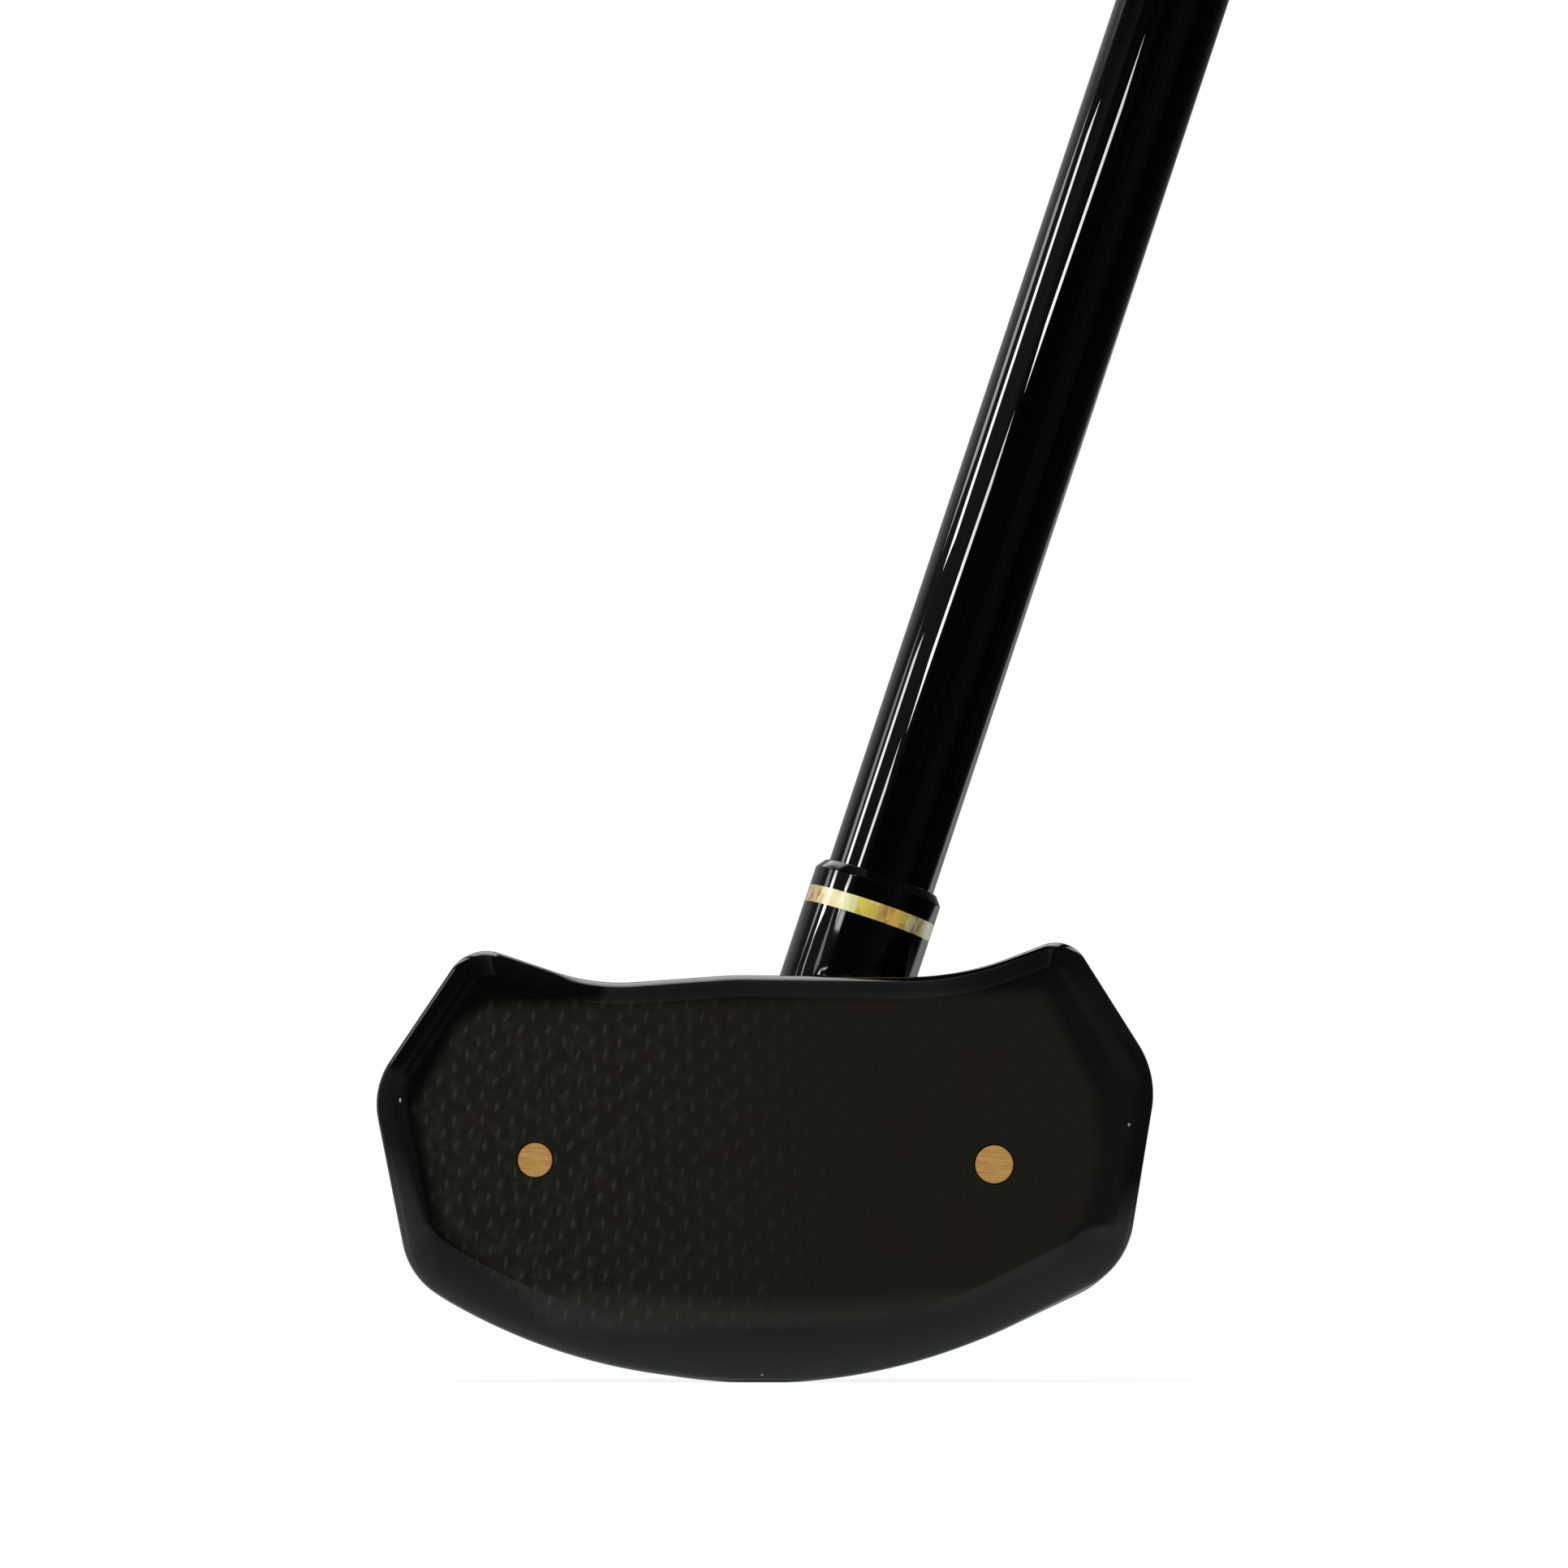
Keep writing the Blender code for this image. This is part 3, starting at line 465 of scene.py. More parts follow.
def cut(obj, cutters, crease=CREASE):
    """Takes the cutters' shapes out of a piece."""
    for cutter in cutters:
        boolean(obj, cutter, "DIFFERENCE")
    settled(obj)
    crease_again(obj, crease)


def discard(*helpers):
    for helper in helpers:
        bpy.data.objects.remove(helper)


def dress(obj, node, material):
    """Gives a piece its material, and puts it in the place of a CAD node."""
    obj.data.materials.clear()
    obj.data.materials.append(material)
    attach(obj, "root")
    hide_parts(node)
    return obj


def axis_matrix():
    foot = Matrix.Translation((AXIS_FOOT_X, 0, 0))
    return foot @ Matrix.Rotation(SHAFT_LEAN, 4, "Y")


def rod_cutter(name, radius, low, high):
    return thing(name, turned([(radius, low), (radius, high)]))


# Shader building

EVEN = (1.0, 1.0, 1.0)
UNTURNED = (0.0, 0.0, 0.0)


class Value:
    """A number, colour or direction in a node tree, which plain arithmetic turns into nodes."""

    def __init__(self, nodes, socket):
        self.nodes = nodes
        self.socket = socket

    def math(self, operation, *others):
        node = self.nodes.add("ShaderNodeMath", self, *others, operation=operation)
        return Value(self.nodes, node.outputs[0])

    def __add__(self, other):
        return self.math("ADD", other)

    def __sub__(self, other):
        return self.math("SUBTRACT", other)

    def __mul__(self, other):
        return self.math("MULTIPLY", other)

    def __truediv__(self, other):
        return self.math("DIVIDE", other)

    def __pow__(self, other):
        return self.math("POWER", other)

    def __abs__(self):
        return self.math("ABSOLUTE")

    def smooth(self, low, high, start=0.0, end=1.0, shape="SMOOTHSTEP"):
        """Goes smoothly from start to end as this value goes from low to high."""
        node = self.nodes.add("ShaderNodeMapRange", self, low, high, start, end, interpolation_type=shape)
        return Value(self.nodes, node.outputs[0])

    def mix(self, first, second):
        """Goes from one colour to the other as this value goes from 0 to 1."""
        node = self.nodes.add("ShaderNodeMix", self, data_type="RGBA")
        for socket, colour in zip((node.inputs[6], node.inputs[7]), (first, second)):
            self.nodes.feed(socket, colour if isinstance(colour, Value) else (*colour, 1.0))
        return Value(self.nodes, node.outputs[2])

    def ramp(self, stops):
        """Looks this value up among stops of (place, grey or colour)."""
        node = self.nodes.add("ShaderNodeValToRGB", self)
        elements = node.color_ramp.elements
        while len(elements) < len(stops):
            elements.new(0.5)
        for element, (place, colour) in zip(elements, stops):
            element.position = place
            element.color = (*colour, 1.0) if isinstance(colour, tuple) else (colour, colour, colour, 1.0)
        return Value(self.nodes, node.outputs[0])

    def axes(self):
        node = self.nodes.add("ShaderNodeSeparateXYZ", self)
        return [Value(self.nodes, socket) for socket in node.outputs]

    def bump(self, distance, strength):
        """The surface's normal where this value is the height of its relief."""
        node = self.nodes.add("ShaderNodeBump")
        return self.nodes.named(node, "Normal", Strength=strength, Distance=distance, Height=self)


class Nodes:
    """A node tree, with short ways to add to it."""

    def __init__(self, tree):
        self.tree = tree

    def add(self, kind, *given, **settings):
        """A node with some settings, and with values or links for its first inputs."""
        node = self.tree.nodes.new(kind)
        for name, value in settings.items():
            setattr(node, name, value)
        for socket, value in zip(node.inputs, given):
            self.feed(socket, value)
        return node

    def feed(self, socket, value):
        """A socket takes a link or a plain value."""
        if isinstance(value, Value):
            self.tree.links.new(value.socket, socket)
        else:
            socket.default_value = value

    def named(self, node, output, **inputs):
        """A node's output, once the inputs with these names are fed."""
        for name, value in inputs.items():
            self.feed(node.inputs[name], value)
        return Value(self, node.outputs[output])

    def source(self, kind, output):
        return Value(self, self.add(kind).outputs[output])

    def place(self, stretch=EVEN, turn=UNTURNED):
        """The point on the piece, in its own axes, scaled and turned."""
        here = self.source("ShaderNodeTexCoord", "Object")
        node = self.add("ShaderNodeMapping", here)
        return self.named(node, "Vector", Scale=stretch, Rotation=turn)

    def noise(self, scale, stretch=EVEN, detail=2.0, roughness=0.5, turn=UNTURNED, output="Fac"):
        node = self.add("ShaderNodeTexNoise", self.place(stretch, turn))
        return self.named(node, output, Scale=scale, Detail=detail, Roughness=roughness)

    def cells(self, scale, vector, output="Distance"):
        node = self.add("ShaderNodeTexVoronoi", vector, feature="F1")
        return self.named(node, output, Scale=scale)


class Surface(Nodes):
    """A Principled material and its nodes."""

    def __init__(self, name, **values):
        self.material = bpy.data.materials.new(name)
        self.material.use_nodes = True
        super().__init__(self.material.node_tree)
        self.with_inputs(**values)

    def with_inputs(self, **values):
        """Feeds sockets of the shader, named with underscores for spaces, and gives the material."""
        shader = self.tree.nodes["Principled BSDF"]
        for name, value in values.items():
            socket = shader.inputs[name.replace("_", " ")]
            self.feed(socket, (*value, 1.0) if isinstance(value, tuple) else value)
        return self.material


def coated(name, coat_roughness, **values):
    """A material that mirrors with its clear coat alone."""
    return Surface(name, Coat_Weight=1.0, Coat_Roughness=coat_roughness, Specular_IOR_Level=0.0, **values)


# Materials: the scales of their textures are per metre

RESIN_BLACK = (0.0013, 0.0016, 0.0018)
RESIN_GREY = (0.0052, 0.0054, 0.0052)
RESIN_CLOUD = (0.0028, 0.0030, 0.0034)
OLIVE_BLACK = (0.0116, 0.0122, 0.0082)
BROWN_BLACK = (0.0130, 0.0112, 0.0090)
# TOW_LIGHT is a painted highlight on each raised tow, and TOW_SHADE a painted shade beside it
TOW_LIGHT = (0.0300, 0.0310, 0.0232)
TOW_SHADE = (0.0092, 0.0098, 0.0066)
TOW_WIDTH = 2.25 * MM
TOW_RISE = 2.07 * MM
WEAVE_SKEW = 0.06
TOW_LEAN = 0.22
# Where the painted glint lies on a tow, as shares of its width and rise
GLINT_MIDDLE = 0.36
GLINT_TOEWARD = -0.15
GLINT_HEELWARD = 0.26
GLINT_HALF_RISE = 0.6
# Corners of the woven sheet's window in the black resin, in mm
WINDOW = (
    (-34.3, 9.6), (-19.3, 8.1), (14.7, 8.9), (31.0, 12.3), (46.0, 19.1), (50.8, 25.9), (53.5, 35.5),
    (52.8, 46.3), (44.6, 62.5), (-44.5, 60.2), (-49.3, 57.2), (-56.0, 43.6), (-52.0, 24.5),
)
WINDOW_SOFTNESS = 1.6 * MM
# Small white specks painted on the face's edges as glints: each one's place, half width and half height in mm
GLINT_SPECKS = ((-58.6, 45.1, 0.18, 0.40), (58.4, 41.2, 0.22, 0.28), (-0.5, 1.2, 0.26, 0.14))
GLINT_SPECK_WHITE = (0.3, 0.3, 0.29)


def window_mask(x, z):
    """1 where the woven sheet shows, and 0 in the black resin round it."""
    inside = None
    for (ax, az), (bx, bz) in zip(WINDOW, (*WINDOW[1:], WINDOW[0])):
        edge = Vector((bx - ax, bz - az)).normalized()
        distance = x * -edge.y + z * edge.x + (edge.y * ax - edge.x * az) * MM
        inside = distance if inside is None else inside.math("MINIMUM", distance)
    return inside.smooth(-WINDOW_SOFTNESS, WINDOW_SOFTNESS)


def resin_colour(x, z):
    """Black resin, which turns a little greyer low at the heel."""
    greyer = z.smooth(70 * MM, 60 * MM) * x.smooth(25 * MM, 50 * MM)
    return greyer.mix(RESIN_BLACK, RESIN_GREY)


def with_glint_specks(x, z, colour):
    """The colour with the painted glint specks laid over it."""
    for middle_x, middle_z, half_width, half_height in GLINT_SPECKS:
        aside = (x / MM - middle_x) / half_width
        above = (z / MM - middle_z) / half_height
        colour = (aside**2 + above**2).smooth(1.1, 0.6).mix(colour, GLINT_SPECK_WHITE)
    return colour


def weave(x, z):
    """How much painted highlight and how much painted shade each raised tow of a plain weave gets."""
    across = (z * WEAVE_SKEW + x) / TOW_WIDTH
    upward = z / TOW_RISE
    raised = ((across.math("FLOOR") + upward.math("FLOOR")) * 0.5).math("FRACT") * 2.0
    up = upward.math("FRACT") - 0.5
    aside = up * -TOW_LEAN + across.math("FRACT") - GLINT_MIDDLE
    wide = (aside / GLINT_TOEWARD).math("MAXIMUM", aside / GLINT_HEELWARD)
    light = (wide**2 + (up / GLINT_HALF_RISE) ** 2).math("SQRT").smooth(1.05, 0.15)
    shade = aside.smooth(0.2, 0.5) * abs(up).smooth(0.5, 0.3)
    return light * raised, shade * raised


def carbon_material():
    surface = coated("woven_carbon", 0.02, Roughness=0.42)
    x, _, z = surface.place().axes()
    sideways = surface.noise(300.0) * (1.5 * MM) + x
    upwards = surface.noise(380.0, (1.0, 1.0, 1.4)) * (1.0 * MM) + z
    light, shade = weave(sideways, upwards)
    # Painted light: the tows' glints, shade and streaks fade towards the heel, as if lit from the toe side
    lit_towards_toe = x.smooth(16 * MM, -40 * MM, 0.08, 1.0)
    patchy = surface.noise(170.0, detail=3.0).smooth(0.3, 0.62, 0.75, 1.0)
    mottle = surface.noise(110.0, detail=3.0).smooth(0.52, 0.64)
    # Painted sheen: fine leaning streaks in the tows' highlight colour
    sheen_streaks = surface.noise(620.0, (1.0, 1.0, 0.7), detail=3.0).smooth(0.45, 0.7, 0.0, 0.3)
    ground = mottle.mix(OLIVE_BLACK, BROWN_BLACK)
    # Painted shade beside each raised tow
    shaded = (shade * lit_towards_toe * 0.5).mix(ground, TOW_SHADE)
    streaked_sheen = (sheen_streaks * lit_towards_toe).mix(shaded, TOW_LIGHT)
    # Painted glints on the raised tows
    woven = (light * patchy * lit_towards_toe).mix(streaked_sheen, TOW_LIGHT)
    faced = window_mask(x, z).mix(resin_colour(x, z), woven)
    return surface.with_inputs(Base_Color=with_glint_specks(x, z, faced), Normal=light.bump(0.04 * MM, 0.4))


def resin_material():
    """The edge of the face under the same clear coat."""
    surface = coated("face_edge_resin", 0.02)
    x, _, z = surface.place().axes()
    cloud = surface.noise(60.0, detail=3.0)
    resin = (cloud * 0.5).mix(resin_colour(x, z), RESIN_CLOUD)
    return surface.with_inputs(Base_Color=with_glint_specks(x, z, resin), Roughness=cloud.smooth(0.3, 0.7, 0.35, 0.45))


def lacquer_material():
    """Black lacquer over maple, with a trace of the grain in it."""
    surface = coated("black_lacquer", 0.025)
    grain = surface.noise(420.0, (1.0, 0.12, 1.0), detail=4.0, roughness=0.6)
    return surface.with_inputs(
        Base_Color=grain.mix((0.0004, 0.0004, 0.0005), (0.0016, 0.0012, 0.0010)),
        Roughness=grain.smooth(0.3, 0.7, 0.25, 0.4),
        Normal=grain.bump(0.01 * MM, 0.3),
        Coat_Normal=surface.noise(90.0).bump(0.03 * MM, 0.1),
    )


def brass_material(name, base, dark, metallic):
    """Brass that was sanded flush, with fine level brush lines."""
    surface = Surface(name, Metallic=metallic)
    lines = surface.noise(6500.0, (0.03, 1.0, 0.3), detail=4.0, roughness=0.65)
    stain = surface.noise(700.0, (0.3, 1.0, 1.0))
    return surface.with_inputs(
        Base_Color=(stain * 0.2 + lines * 0.8).smooth(0.36, 0.62).mix(dark, base),
        Roughness=lines.smooth(0.3, 0.7, 0.32, 0.5),
        Normal=lines.bump(0.02 * MM, 0.3),
    )


# Colours of the shell across the front of the ring, from its toe side at 0 to its heel side at 1
SHELL_ACROSS = (
    (0.0, (0.78, 0.62, 0.44)),
    (0.08, (0.62, 0.44, 0.18)),
    (0.17, (0.95, 0.86, 0.50)),
    (0.30, (0.95, 0.90, 0.50)),
    (0.41, (0.80, 0.78, 0.42)),
    (0.43, (0.66, 0.70, 0.04)),
    (0.52, (0.76, 0.52, 0.03)),
    (0.60, (0.66, 0.40, 0.05)),
    (0.65, (0.38, 0.17, 0.04)),
    (0.74, (0.82, 0.50, 0.06)),
    (0.81, (0.52, 0.40, 0.05)),
    (0.87, (0.26, 0.17, 0.03)),
    (0.93, (0.26, 0.17, 0.06)),
    (0.97, (0.80, 0.74, 0.58)),
)
SHELL_PATCHES = (
    (0.0, (0.34, 0.18, 0.04)),
    (0.35, (0.72, 0.46, 0.06)),
    (0.6, (0.92, 0.74, 0.26)),
    (0.8, (0.60, 0.54, 0.05)),
    (1.0, (0.96, 0.88, 0.56)),
)
SHELL_STREAK = (0.30, 0.14, 0.03)
SHELL_STRETCH = (1.0, 1.0, 0.5)
SHELL_WAVER = (1.6 * MM, 1.6 * MM, 1.6 * MM)


def shell_material():
    """Gold shell under clear coat: slabs of cream, yellow green, orange and brown, with flecks."""
    surface = Surface("gold_shell", Coat_Weight=1.0, Coat_Roughness=0.2)
    bent = surface.noise(420.0, SHELL_STRETCH, output="Color")
    here = surface.place(SHELL_STRETCH)
    shift = surface.add("ShaderNodeVectorMath", bent, SHELL_WAVER, here, operation="MULTIPLY_ADD")
    shifted = Value(surface, shift.outputs[0])
    across = shifted.axes()[0].smooth(-NECK_RADIUS, NECK_RADIUS, shape="LINEAR")
    fleck = surface.cells(620.0, shifted, output="Color").axes()[0]
    grain = surface.noise(1500.0, (1.0, 1.0, 0.3), detail=3.0)
    streaks = surface.noise(1300.0, (1.0, 1.0, 0.35), turn=(0.0, 0.6, 0.0))
    mixed = grain.smooth(0.4, 0.62, 0.08, 0.5).mix(across.ramp(SHELL_ACROSS), fleck.ramp(SHELL_PATCHES))
    at_toe_end = streaks.smooth(0.46, 0.6, 0.0, 0.8) * across.smooth(0.24, 0.14)
    return surface.with_inputs(
        Base_Color=at_toe_end.mix(mixed, SHELL_STREAK),
        Roughness=fleck.smooth(0.0, 1.0, 0.22, 0.4),
        Normal=fleck.bump(0.03 * MM, 0.35),
    )


def gloss_black(name, warm):
    """Polished black with hair-fine polishing marks in it."""
    surface = coated(name, 0.015)
    streaks = surface.noise(700.0, (1.0, 1.0, 0.02), detail=4.0, roughness=0.65)
    return surface.with_inputs(
        Base_Color=streaks.smooth(0.45, 0.8).mix((0.0003, 0.0003, 0.0004), warm),
        Roughness=streaks.smooth(0.3, 0.7, 0.25, 0.45),
        Normal=streaks.bump(0.01 * MM, 0.2),
    )


def sole_material():
    """Satin resin with a fine moulded grain and light scuffs along the line of play."""
    surface = Surface("sole_resin")
    scuffs = surface.noise(900.0, (3.0, 0.06, 1.0), detail=3.0, roughness=0.7)
    return surface.with_inputs(
        Base_Color=scuffs.smooth(0.56, 0.72).mix((0.012, 0.012, 0.013), (0.028, 0.028, 0.028)),
        Roughness=scuffs.smooth(0.3, 0.75, 0.38, 0.6),
        Normal=surface.cells(2600.0, surface.place()).bump(0.04 * MM, 0.35),
    )


def steel_material():
    surface = Surface("blackened_steel", Metallic=1.0)
    tool_marks = surface.noise(3200.0, detail=3.0)
    return surface.with_inputs(
        Base_Color=tool_marks.mix((0.035, 0.035, 0.04), (0.13, 0.13, 0.14)),
        Roughness=tool_marks.smooth(0.3, 0.7, 0.3, 0.48),
        Normal=tool_marks.bump(0.01 * MM, 0.4),
    )


def plug_material():
    surface = Surface("bare_wood", Roughness=0.7)
    grain = surface.noise(700.0, (1.0, 1.0, 0.08), detail=4.0)
    return surface.with_inputs(
        Base_Color=grain.mix((0.36, 0.20, 0.09), (0.55, 0.37, 0.19)),
        Normal=grain.bump(0.03 * MM, 0.5),
    )


def foam_material():
    surface = Surface("underlay_foam", Roughness=0.9)
    bubbles = surface.cells(1500.0, surface.place())
    return surface.with_inputs(
        Base_Color=bubbles.mix((0.03, 0.03, 0.03), (0.07, 0.07, 0.07)),
        Normal=bubbles.bump(0.1 * MM, 0.6),
    )


HOLE_PITCH = 3.6 * MM
HOLE_RADIUS = 0.5 * MM


def wrap_material():
    """A matt synthetic band with rows of small punched holes that climb with it."""
    surface = Surface("grip_wrap")
    x, y, z = surface.place().axes()
    angle = y.math("ARCTAN2", x)
    mean_radius = wrap_radius(CLUB_LENGTH - GRIP_LENGTH / 2) + WRAP_THICKNESS
    holes_round = round(2 * math.pi * mean_radius / HOLE_PITCH)
    row = (angle * (-WRAP_PITCH / (2 * math.pi)) + z) / HOLE_PITCH
    column = row.math("FLOOR") * 0.5 + angle * (holes_round / (2 * math.pi))
    aside, above = column.math("FRACT") - 0.5, row.math("FRACT") - 0.5
    size = HOLE_RADIUS / HOLE_PITCH
    hole = (aside**2 + above**2).math("SQRT").smooth(size * 1.35, size * 0.75)
    nap = surface.noise(2600.0, detail=4.0, roughness=0.7)
    rubbed = surface.noise(60.0, (1.0, 1.0, 0.5), detail=3.0)
    face = nap.smooth(0.35, 0.7).mix((0.011, 0.011, 0.012), (0.024, 0.024, 0.025))
    return surface.with_inputs(
        # The punched holes are painted near black: painted shade inside holes that are only a bump
        Base_Color=hole.mix(face, (0.003, 0.003, 0.003)),
        Roughness=rubbed.smooth(0.35, 0.7, 0.52, 0.72),
        Normal=(nap * 0.25 - hole).bump(0.25 * MM, 0.8),
    )


def rubber_material():
    surface = Surface("black_rubber")
    grain = surface.noise(3000.0, detail=3.0)
    return surface.with_inputs(
        Base_Color=grain.mix((0.008, 0.008, 0.008), (0.017, 0.017, 0.017)),
        Roughness=grain.smooth(0.3, 0.7, 0.5, 0.64),
        Normal=grain.bump(0.03 * MM, 0.5),
    )


# Pieces of the head


def roll_point(across):
    """Share of the border and depth on its roll: across is 0 at the flat and 1 at the outline."""
    depth = BEVEL_DEPTH * (1 - (1 - across ** ROLL_CURVE[0]) ** (1 / ROLL_CURVE[1]))
    return Vector((1 - across, depth))


def face_ring(place):
    share, depth = place
    y = face_front() + depth
    return [Vector((x, y, z)) for x, z in outline(share)]


def pin_cutters(room):
    cutters = []
    for name, x, z, diameter in PINS:
        hole = rod_cutter(f"{name}_hole", diameter / 2 + room, -GAP, PIN_LENGTH + GAP)
        hole.matrix_world = pin_place(x, z)
        cutters.append(hole)
    return cutters


def pin_place(x, z):
    return Matrix.Translation((x, face_front(), z)) @ Matrix.Rotation(-math.pi / 2, 4, "X")


def make_face(cutters):
    """The woven sheet and the resin plate, which meet inside the rolled edge."""
    steps = [math.sin(math.pi / 2 * k / ROLL_STEPS) for k in range(ROLL_STEPS + 1)]
    rolled = [roll_point(across) for across in steps]
    sheet_back = CARBON_THICKNESS + GAP / 2
    front = [place for place in rolled if place.y < sheet_back]
    behind = [place for place in rolled if place.y > sheet_back]
    meeting = front[-1].lerp(behind[0], (sheet_back - front[-1].y) / (behind[0].y - front[-1].y))
    front.append(meeting)
    behind.insert(0, meeting + Vector((0.0, SEAM)))
    sheet = thing("carbon_face_fine", skin([face_ring(place) for place in front]))
    back = body_front() - SEAM - face_front()
    for step in range(1, PLATE_STEPS + 1):
        behind.append(Vector((0.0, BEVEL_DEPTH + (back - BEVEL_DEPTH) * step / PLATE_STEPS)))
    plate = thing("face_plate_fine", skin([face_ring(place) for place in behind]))
    for piece in (sheet, plate):
        cut(piece, cutters, FACE_CREASE)
    dress(sheet, "carbon_face", carbon_material())
    dress(plate, "face_plate", resin_material())


def make_pins():
    brass = brass_material("pin_brass", (0.76, 0.44, 0.13), (0.52, 0.27, 0.06), 0.35)
    for name, x, z, diameter in PINS:
        radius = diameter / 2
        profile = [
            (radius / 2, PIN_SINK),
            (radius - PIN_EDGE, PIN_SINK),
            (radius, PIN_SINK + PIN_EDGE),
            (radius, PIN_LENGTH),
        ]
        made = turned(soft_corners(profile, PIN_EDGE / 2), segments=SMALL_SEGMENTS)
        pin = thing(f"{name}_fine", made)
        pin.matrix_world = pin_place(x, z)
        dress(pin, name, brass)


def body_blank():
    """The wooden head as turned out, before the neck, the bore and the pockets."""
    shares = [math.sin(math.pi / 2 * k / BODY_RINGS) for k in range(BODY_RINGS)]
    made = skin([body_ring(share) for share in shares])
    hindmost = max(made.faces, key=lambda face: face.calc_center_median().y)
    bmesh.ops.poke(made, faces=[hindmost])
    pole = max(made.verts, key=lambda vert: len(vert.link_edges))
    pole.co.y = body_back()
    return made


def neck_blank(crown):
    """The neck with a fillet that leaves the crown along its slope and ends along the shaft."""
    to_world = axis_matrix()
    axis = to_world.to_3x3() @ Vector((0, 0, 1))
    top = NECK_TOP + GAP / 2
    columns = []
    for k in range(TURN_SEGMENTS):
        angle = 2 * math.pi * k / TURN_SEGMENTS
        spoke = Vector((math.cos(angle), math.sin(angle), 0))
        along_x = NECK_HEEL_FLARE if spoke.x > 0 else NECK_TOE_FLARE
        along_y = NECK_REAR_FLARE if spoke.y > 0 else NECK_SETBACK - NECK_FRONT_LEDGE
        flare = along_x * spoke.x**2 + along_y * spoke.y**2
        above = to_world @ (spoke * (NECK_RADIUS + flare) + Vector((0, 0, NECK_TOP)))
        hit, normal, _, distance = crown.ray_cast(above, -axis)
        start = hit - normal * GAP / 4
        height = NECK_TOP - distance + flare * NECK_FLARE_RISE
        end = to_world @ (spoke * NECK_RADIUS + Vector((0, 0, height)))
        inward = end - start
        slope = (inward - normal * inward.dot(normal)).normalized()
        leaving = slope * inward.dot(slope) * FILLET_PULL
        arriving = axis * inward.dot(axis) * FILLET_PULL
        column = [to_world @ (spoke * NECK_RADIUS + Vector((0, 0, BORE_FLOOR)))]
        for step in range(FILLET_STEPS + 1):
            column.append(hermite(start, leaving, end, arriving, step / FILLET_STEPS))
        for step in range(1, NECK_STEPS + 1):
            column.append(end.lerp(to_world @ (spoke * NECK_RADIUS + Vector((0, 0, top))), step / NECK_STEPS))
        columns.append(column)
    return skin([list(ring) for ring in zip(*columns)])


def rounded_rectangle(margin, low, high):
    """An upright prism round the sole plate, larger than it by a margin."""
    length, depth, radius = PLATE_LENGTH + 2 * margin, PLATE_DEPTH + 2 * margin, PLATE_CORNER + margin
    ring = []
    for corner in range(4):
        side = 1 if corner in (0, 3) else -1
        back = 1 if corner in (0, 1) else -1
        for step in range(ROUND_STEPS + 1):
            angle = math.pi / 2 * (corner + step / ROUND_STEPS)
            x = side * (length / 2 - radius) + radius * math.cos(angle)
            y = back * (depth / 2 - radius) + radius * math.sin(angle)
            ring.append((x, y + PLATE_CENTRE_Y))
    return skin([[Vector((x, y, z)) for x, y in ring] for z in (low, high)])


def cross_recess(angle):
    """Radius of a cross-shaped driver recess at an angle."""
    between_arms = RECESS_ARMS_WITHIN < math.degrees(angle) % 90 < 90 - RECESS_ARMS_WITHIN
    return RECESS_WAIST if between_arms else RECESS_ARM


def screw_mesh():
    """A countersunk screw along -Z, with its head's face at the origin."""
    head, shank = SCREW_HEAD_DIAMETER / 2, SCREW_SHANK_DIAMETER / 2
    recess = [cross_recess(2 * math.pi * k / SMALL_SEGMENTS) for k in range(SMALL_SEGMENTS)]
    outside = [
        (shank / 2, -SCREW_LENGTH),
        (shank, -SCREW_LENGTH + SCREW_SHANK_DIAMETER),
        (shank, -SCREW_HEAD_HEIGHT),
        (head, -SCREW_RIM),
        (head, -SCREW_RIM / 3),
        (head - SCREW_RIM / 3, 0.0),
    ]
    rings = [round_points([radius] * SMALL_SEGMENTS, height) for radius, height in outside]
    rings.append(round_points(recess, 0.0))
    rings.append(round_points([radius * RECESS_TAPER for radius in recess], -RECESS_DEPTH))
    return skin(rings)


def screw_hole():
    """The countersunk hole that such a screw leaves, with its clearance."""
    head = SCREW_HEAD_DIAMETER / 2 + GAP
    shank = SCREW_SHANK_DIAMETER / 2 + GAP
    profile = [
        (shank, -SCREW_LENGTH - GAP),
        (shank, -SCREW_HEAD_HEIGHT - GAP),
        (head, -SCREW_RIM),
        (head, 3 * SCREW_SINK),
    ]
    return turned(profile, segments=SMALL_SEGMENTS)


def sole_at(x):
    """Height and slope of the sole's curve at a place along the face."""
    curve = sorted(point for point in outline() if point[1] < SHARP_BELOW)
    for (x0, z0), (x1, z1) in zip(curve, curve[1:]):
        if x0 <= x < x1:
            slope = (z1 - z0) / (x1 - x0)
            return z0 + slope * (x - x0), math.atan(slope)
    return 0.0, 0.0


def screw_places():
    """Each screw's place in the sole: its local Z points straight out of it."""
    places = []
    for toe_heel in (-1, 1):
        for front_back in (-1, 1):
            x = toe_heel * (PLATE_LENGTH / 2 - SCREW_INSET_X)
            y = front_back * (PLATE_DEPTH / 2 - SCREW_INSET_Y) + PLATE_CENTRE_Y
            height, slope = sole_at(x)
            place = Matrix.Translation((x, y, height)) @ Matrix.Rotation(math.pi - slope, 4, "Y")
            places.append(place @ Matrix.Translation((0, 0, -SCREW_SINK)))
    return places


def pocket_cutters():
    """The pockets of the two weights above the sole plate."""
    cutters = []
    for side in (-1, 1):
        x = side * WEIGHT_SPREAD / 2
        radius = WEIGHT_DIAMETER / 2
        floor = sole_at(x + side * radius)[0] + PLATE_THICKNESS + 2 * GAP
        pocket = rod_cutter("weight_pocket", radius + GAP, GAP - floor, WEIGHT_HEIGHT + GAP)
        pocket.location = (x, PLATE_CENTRE_Y, floor)
        cutters.append(pocket)
    return cutters


def raised_blank(height):
    """The wooden head's blank, moved up to cut a layer of even thickness from the sole."""
    raised = thing("raised_blank", body_blank())
    raised.location.z = height
    return raised


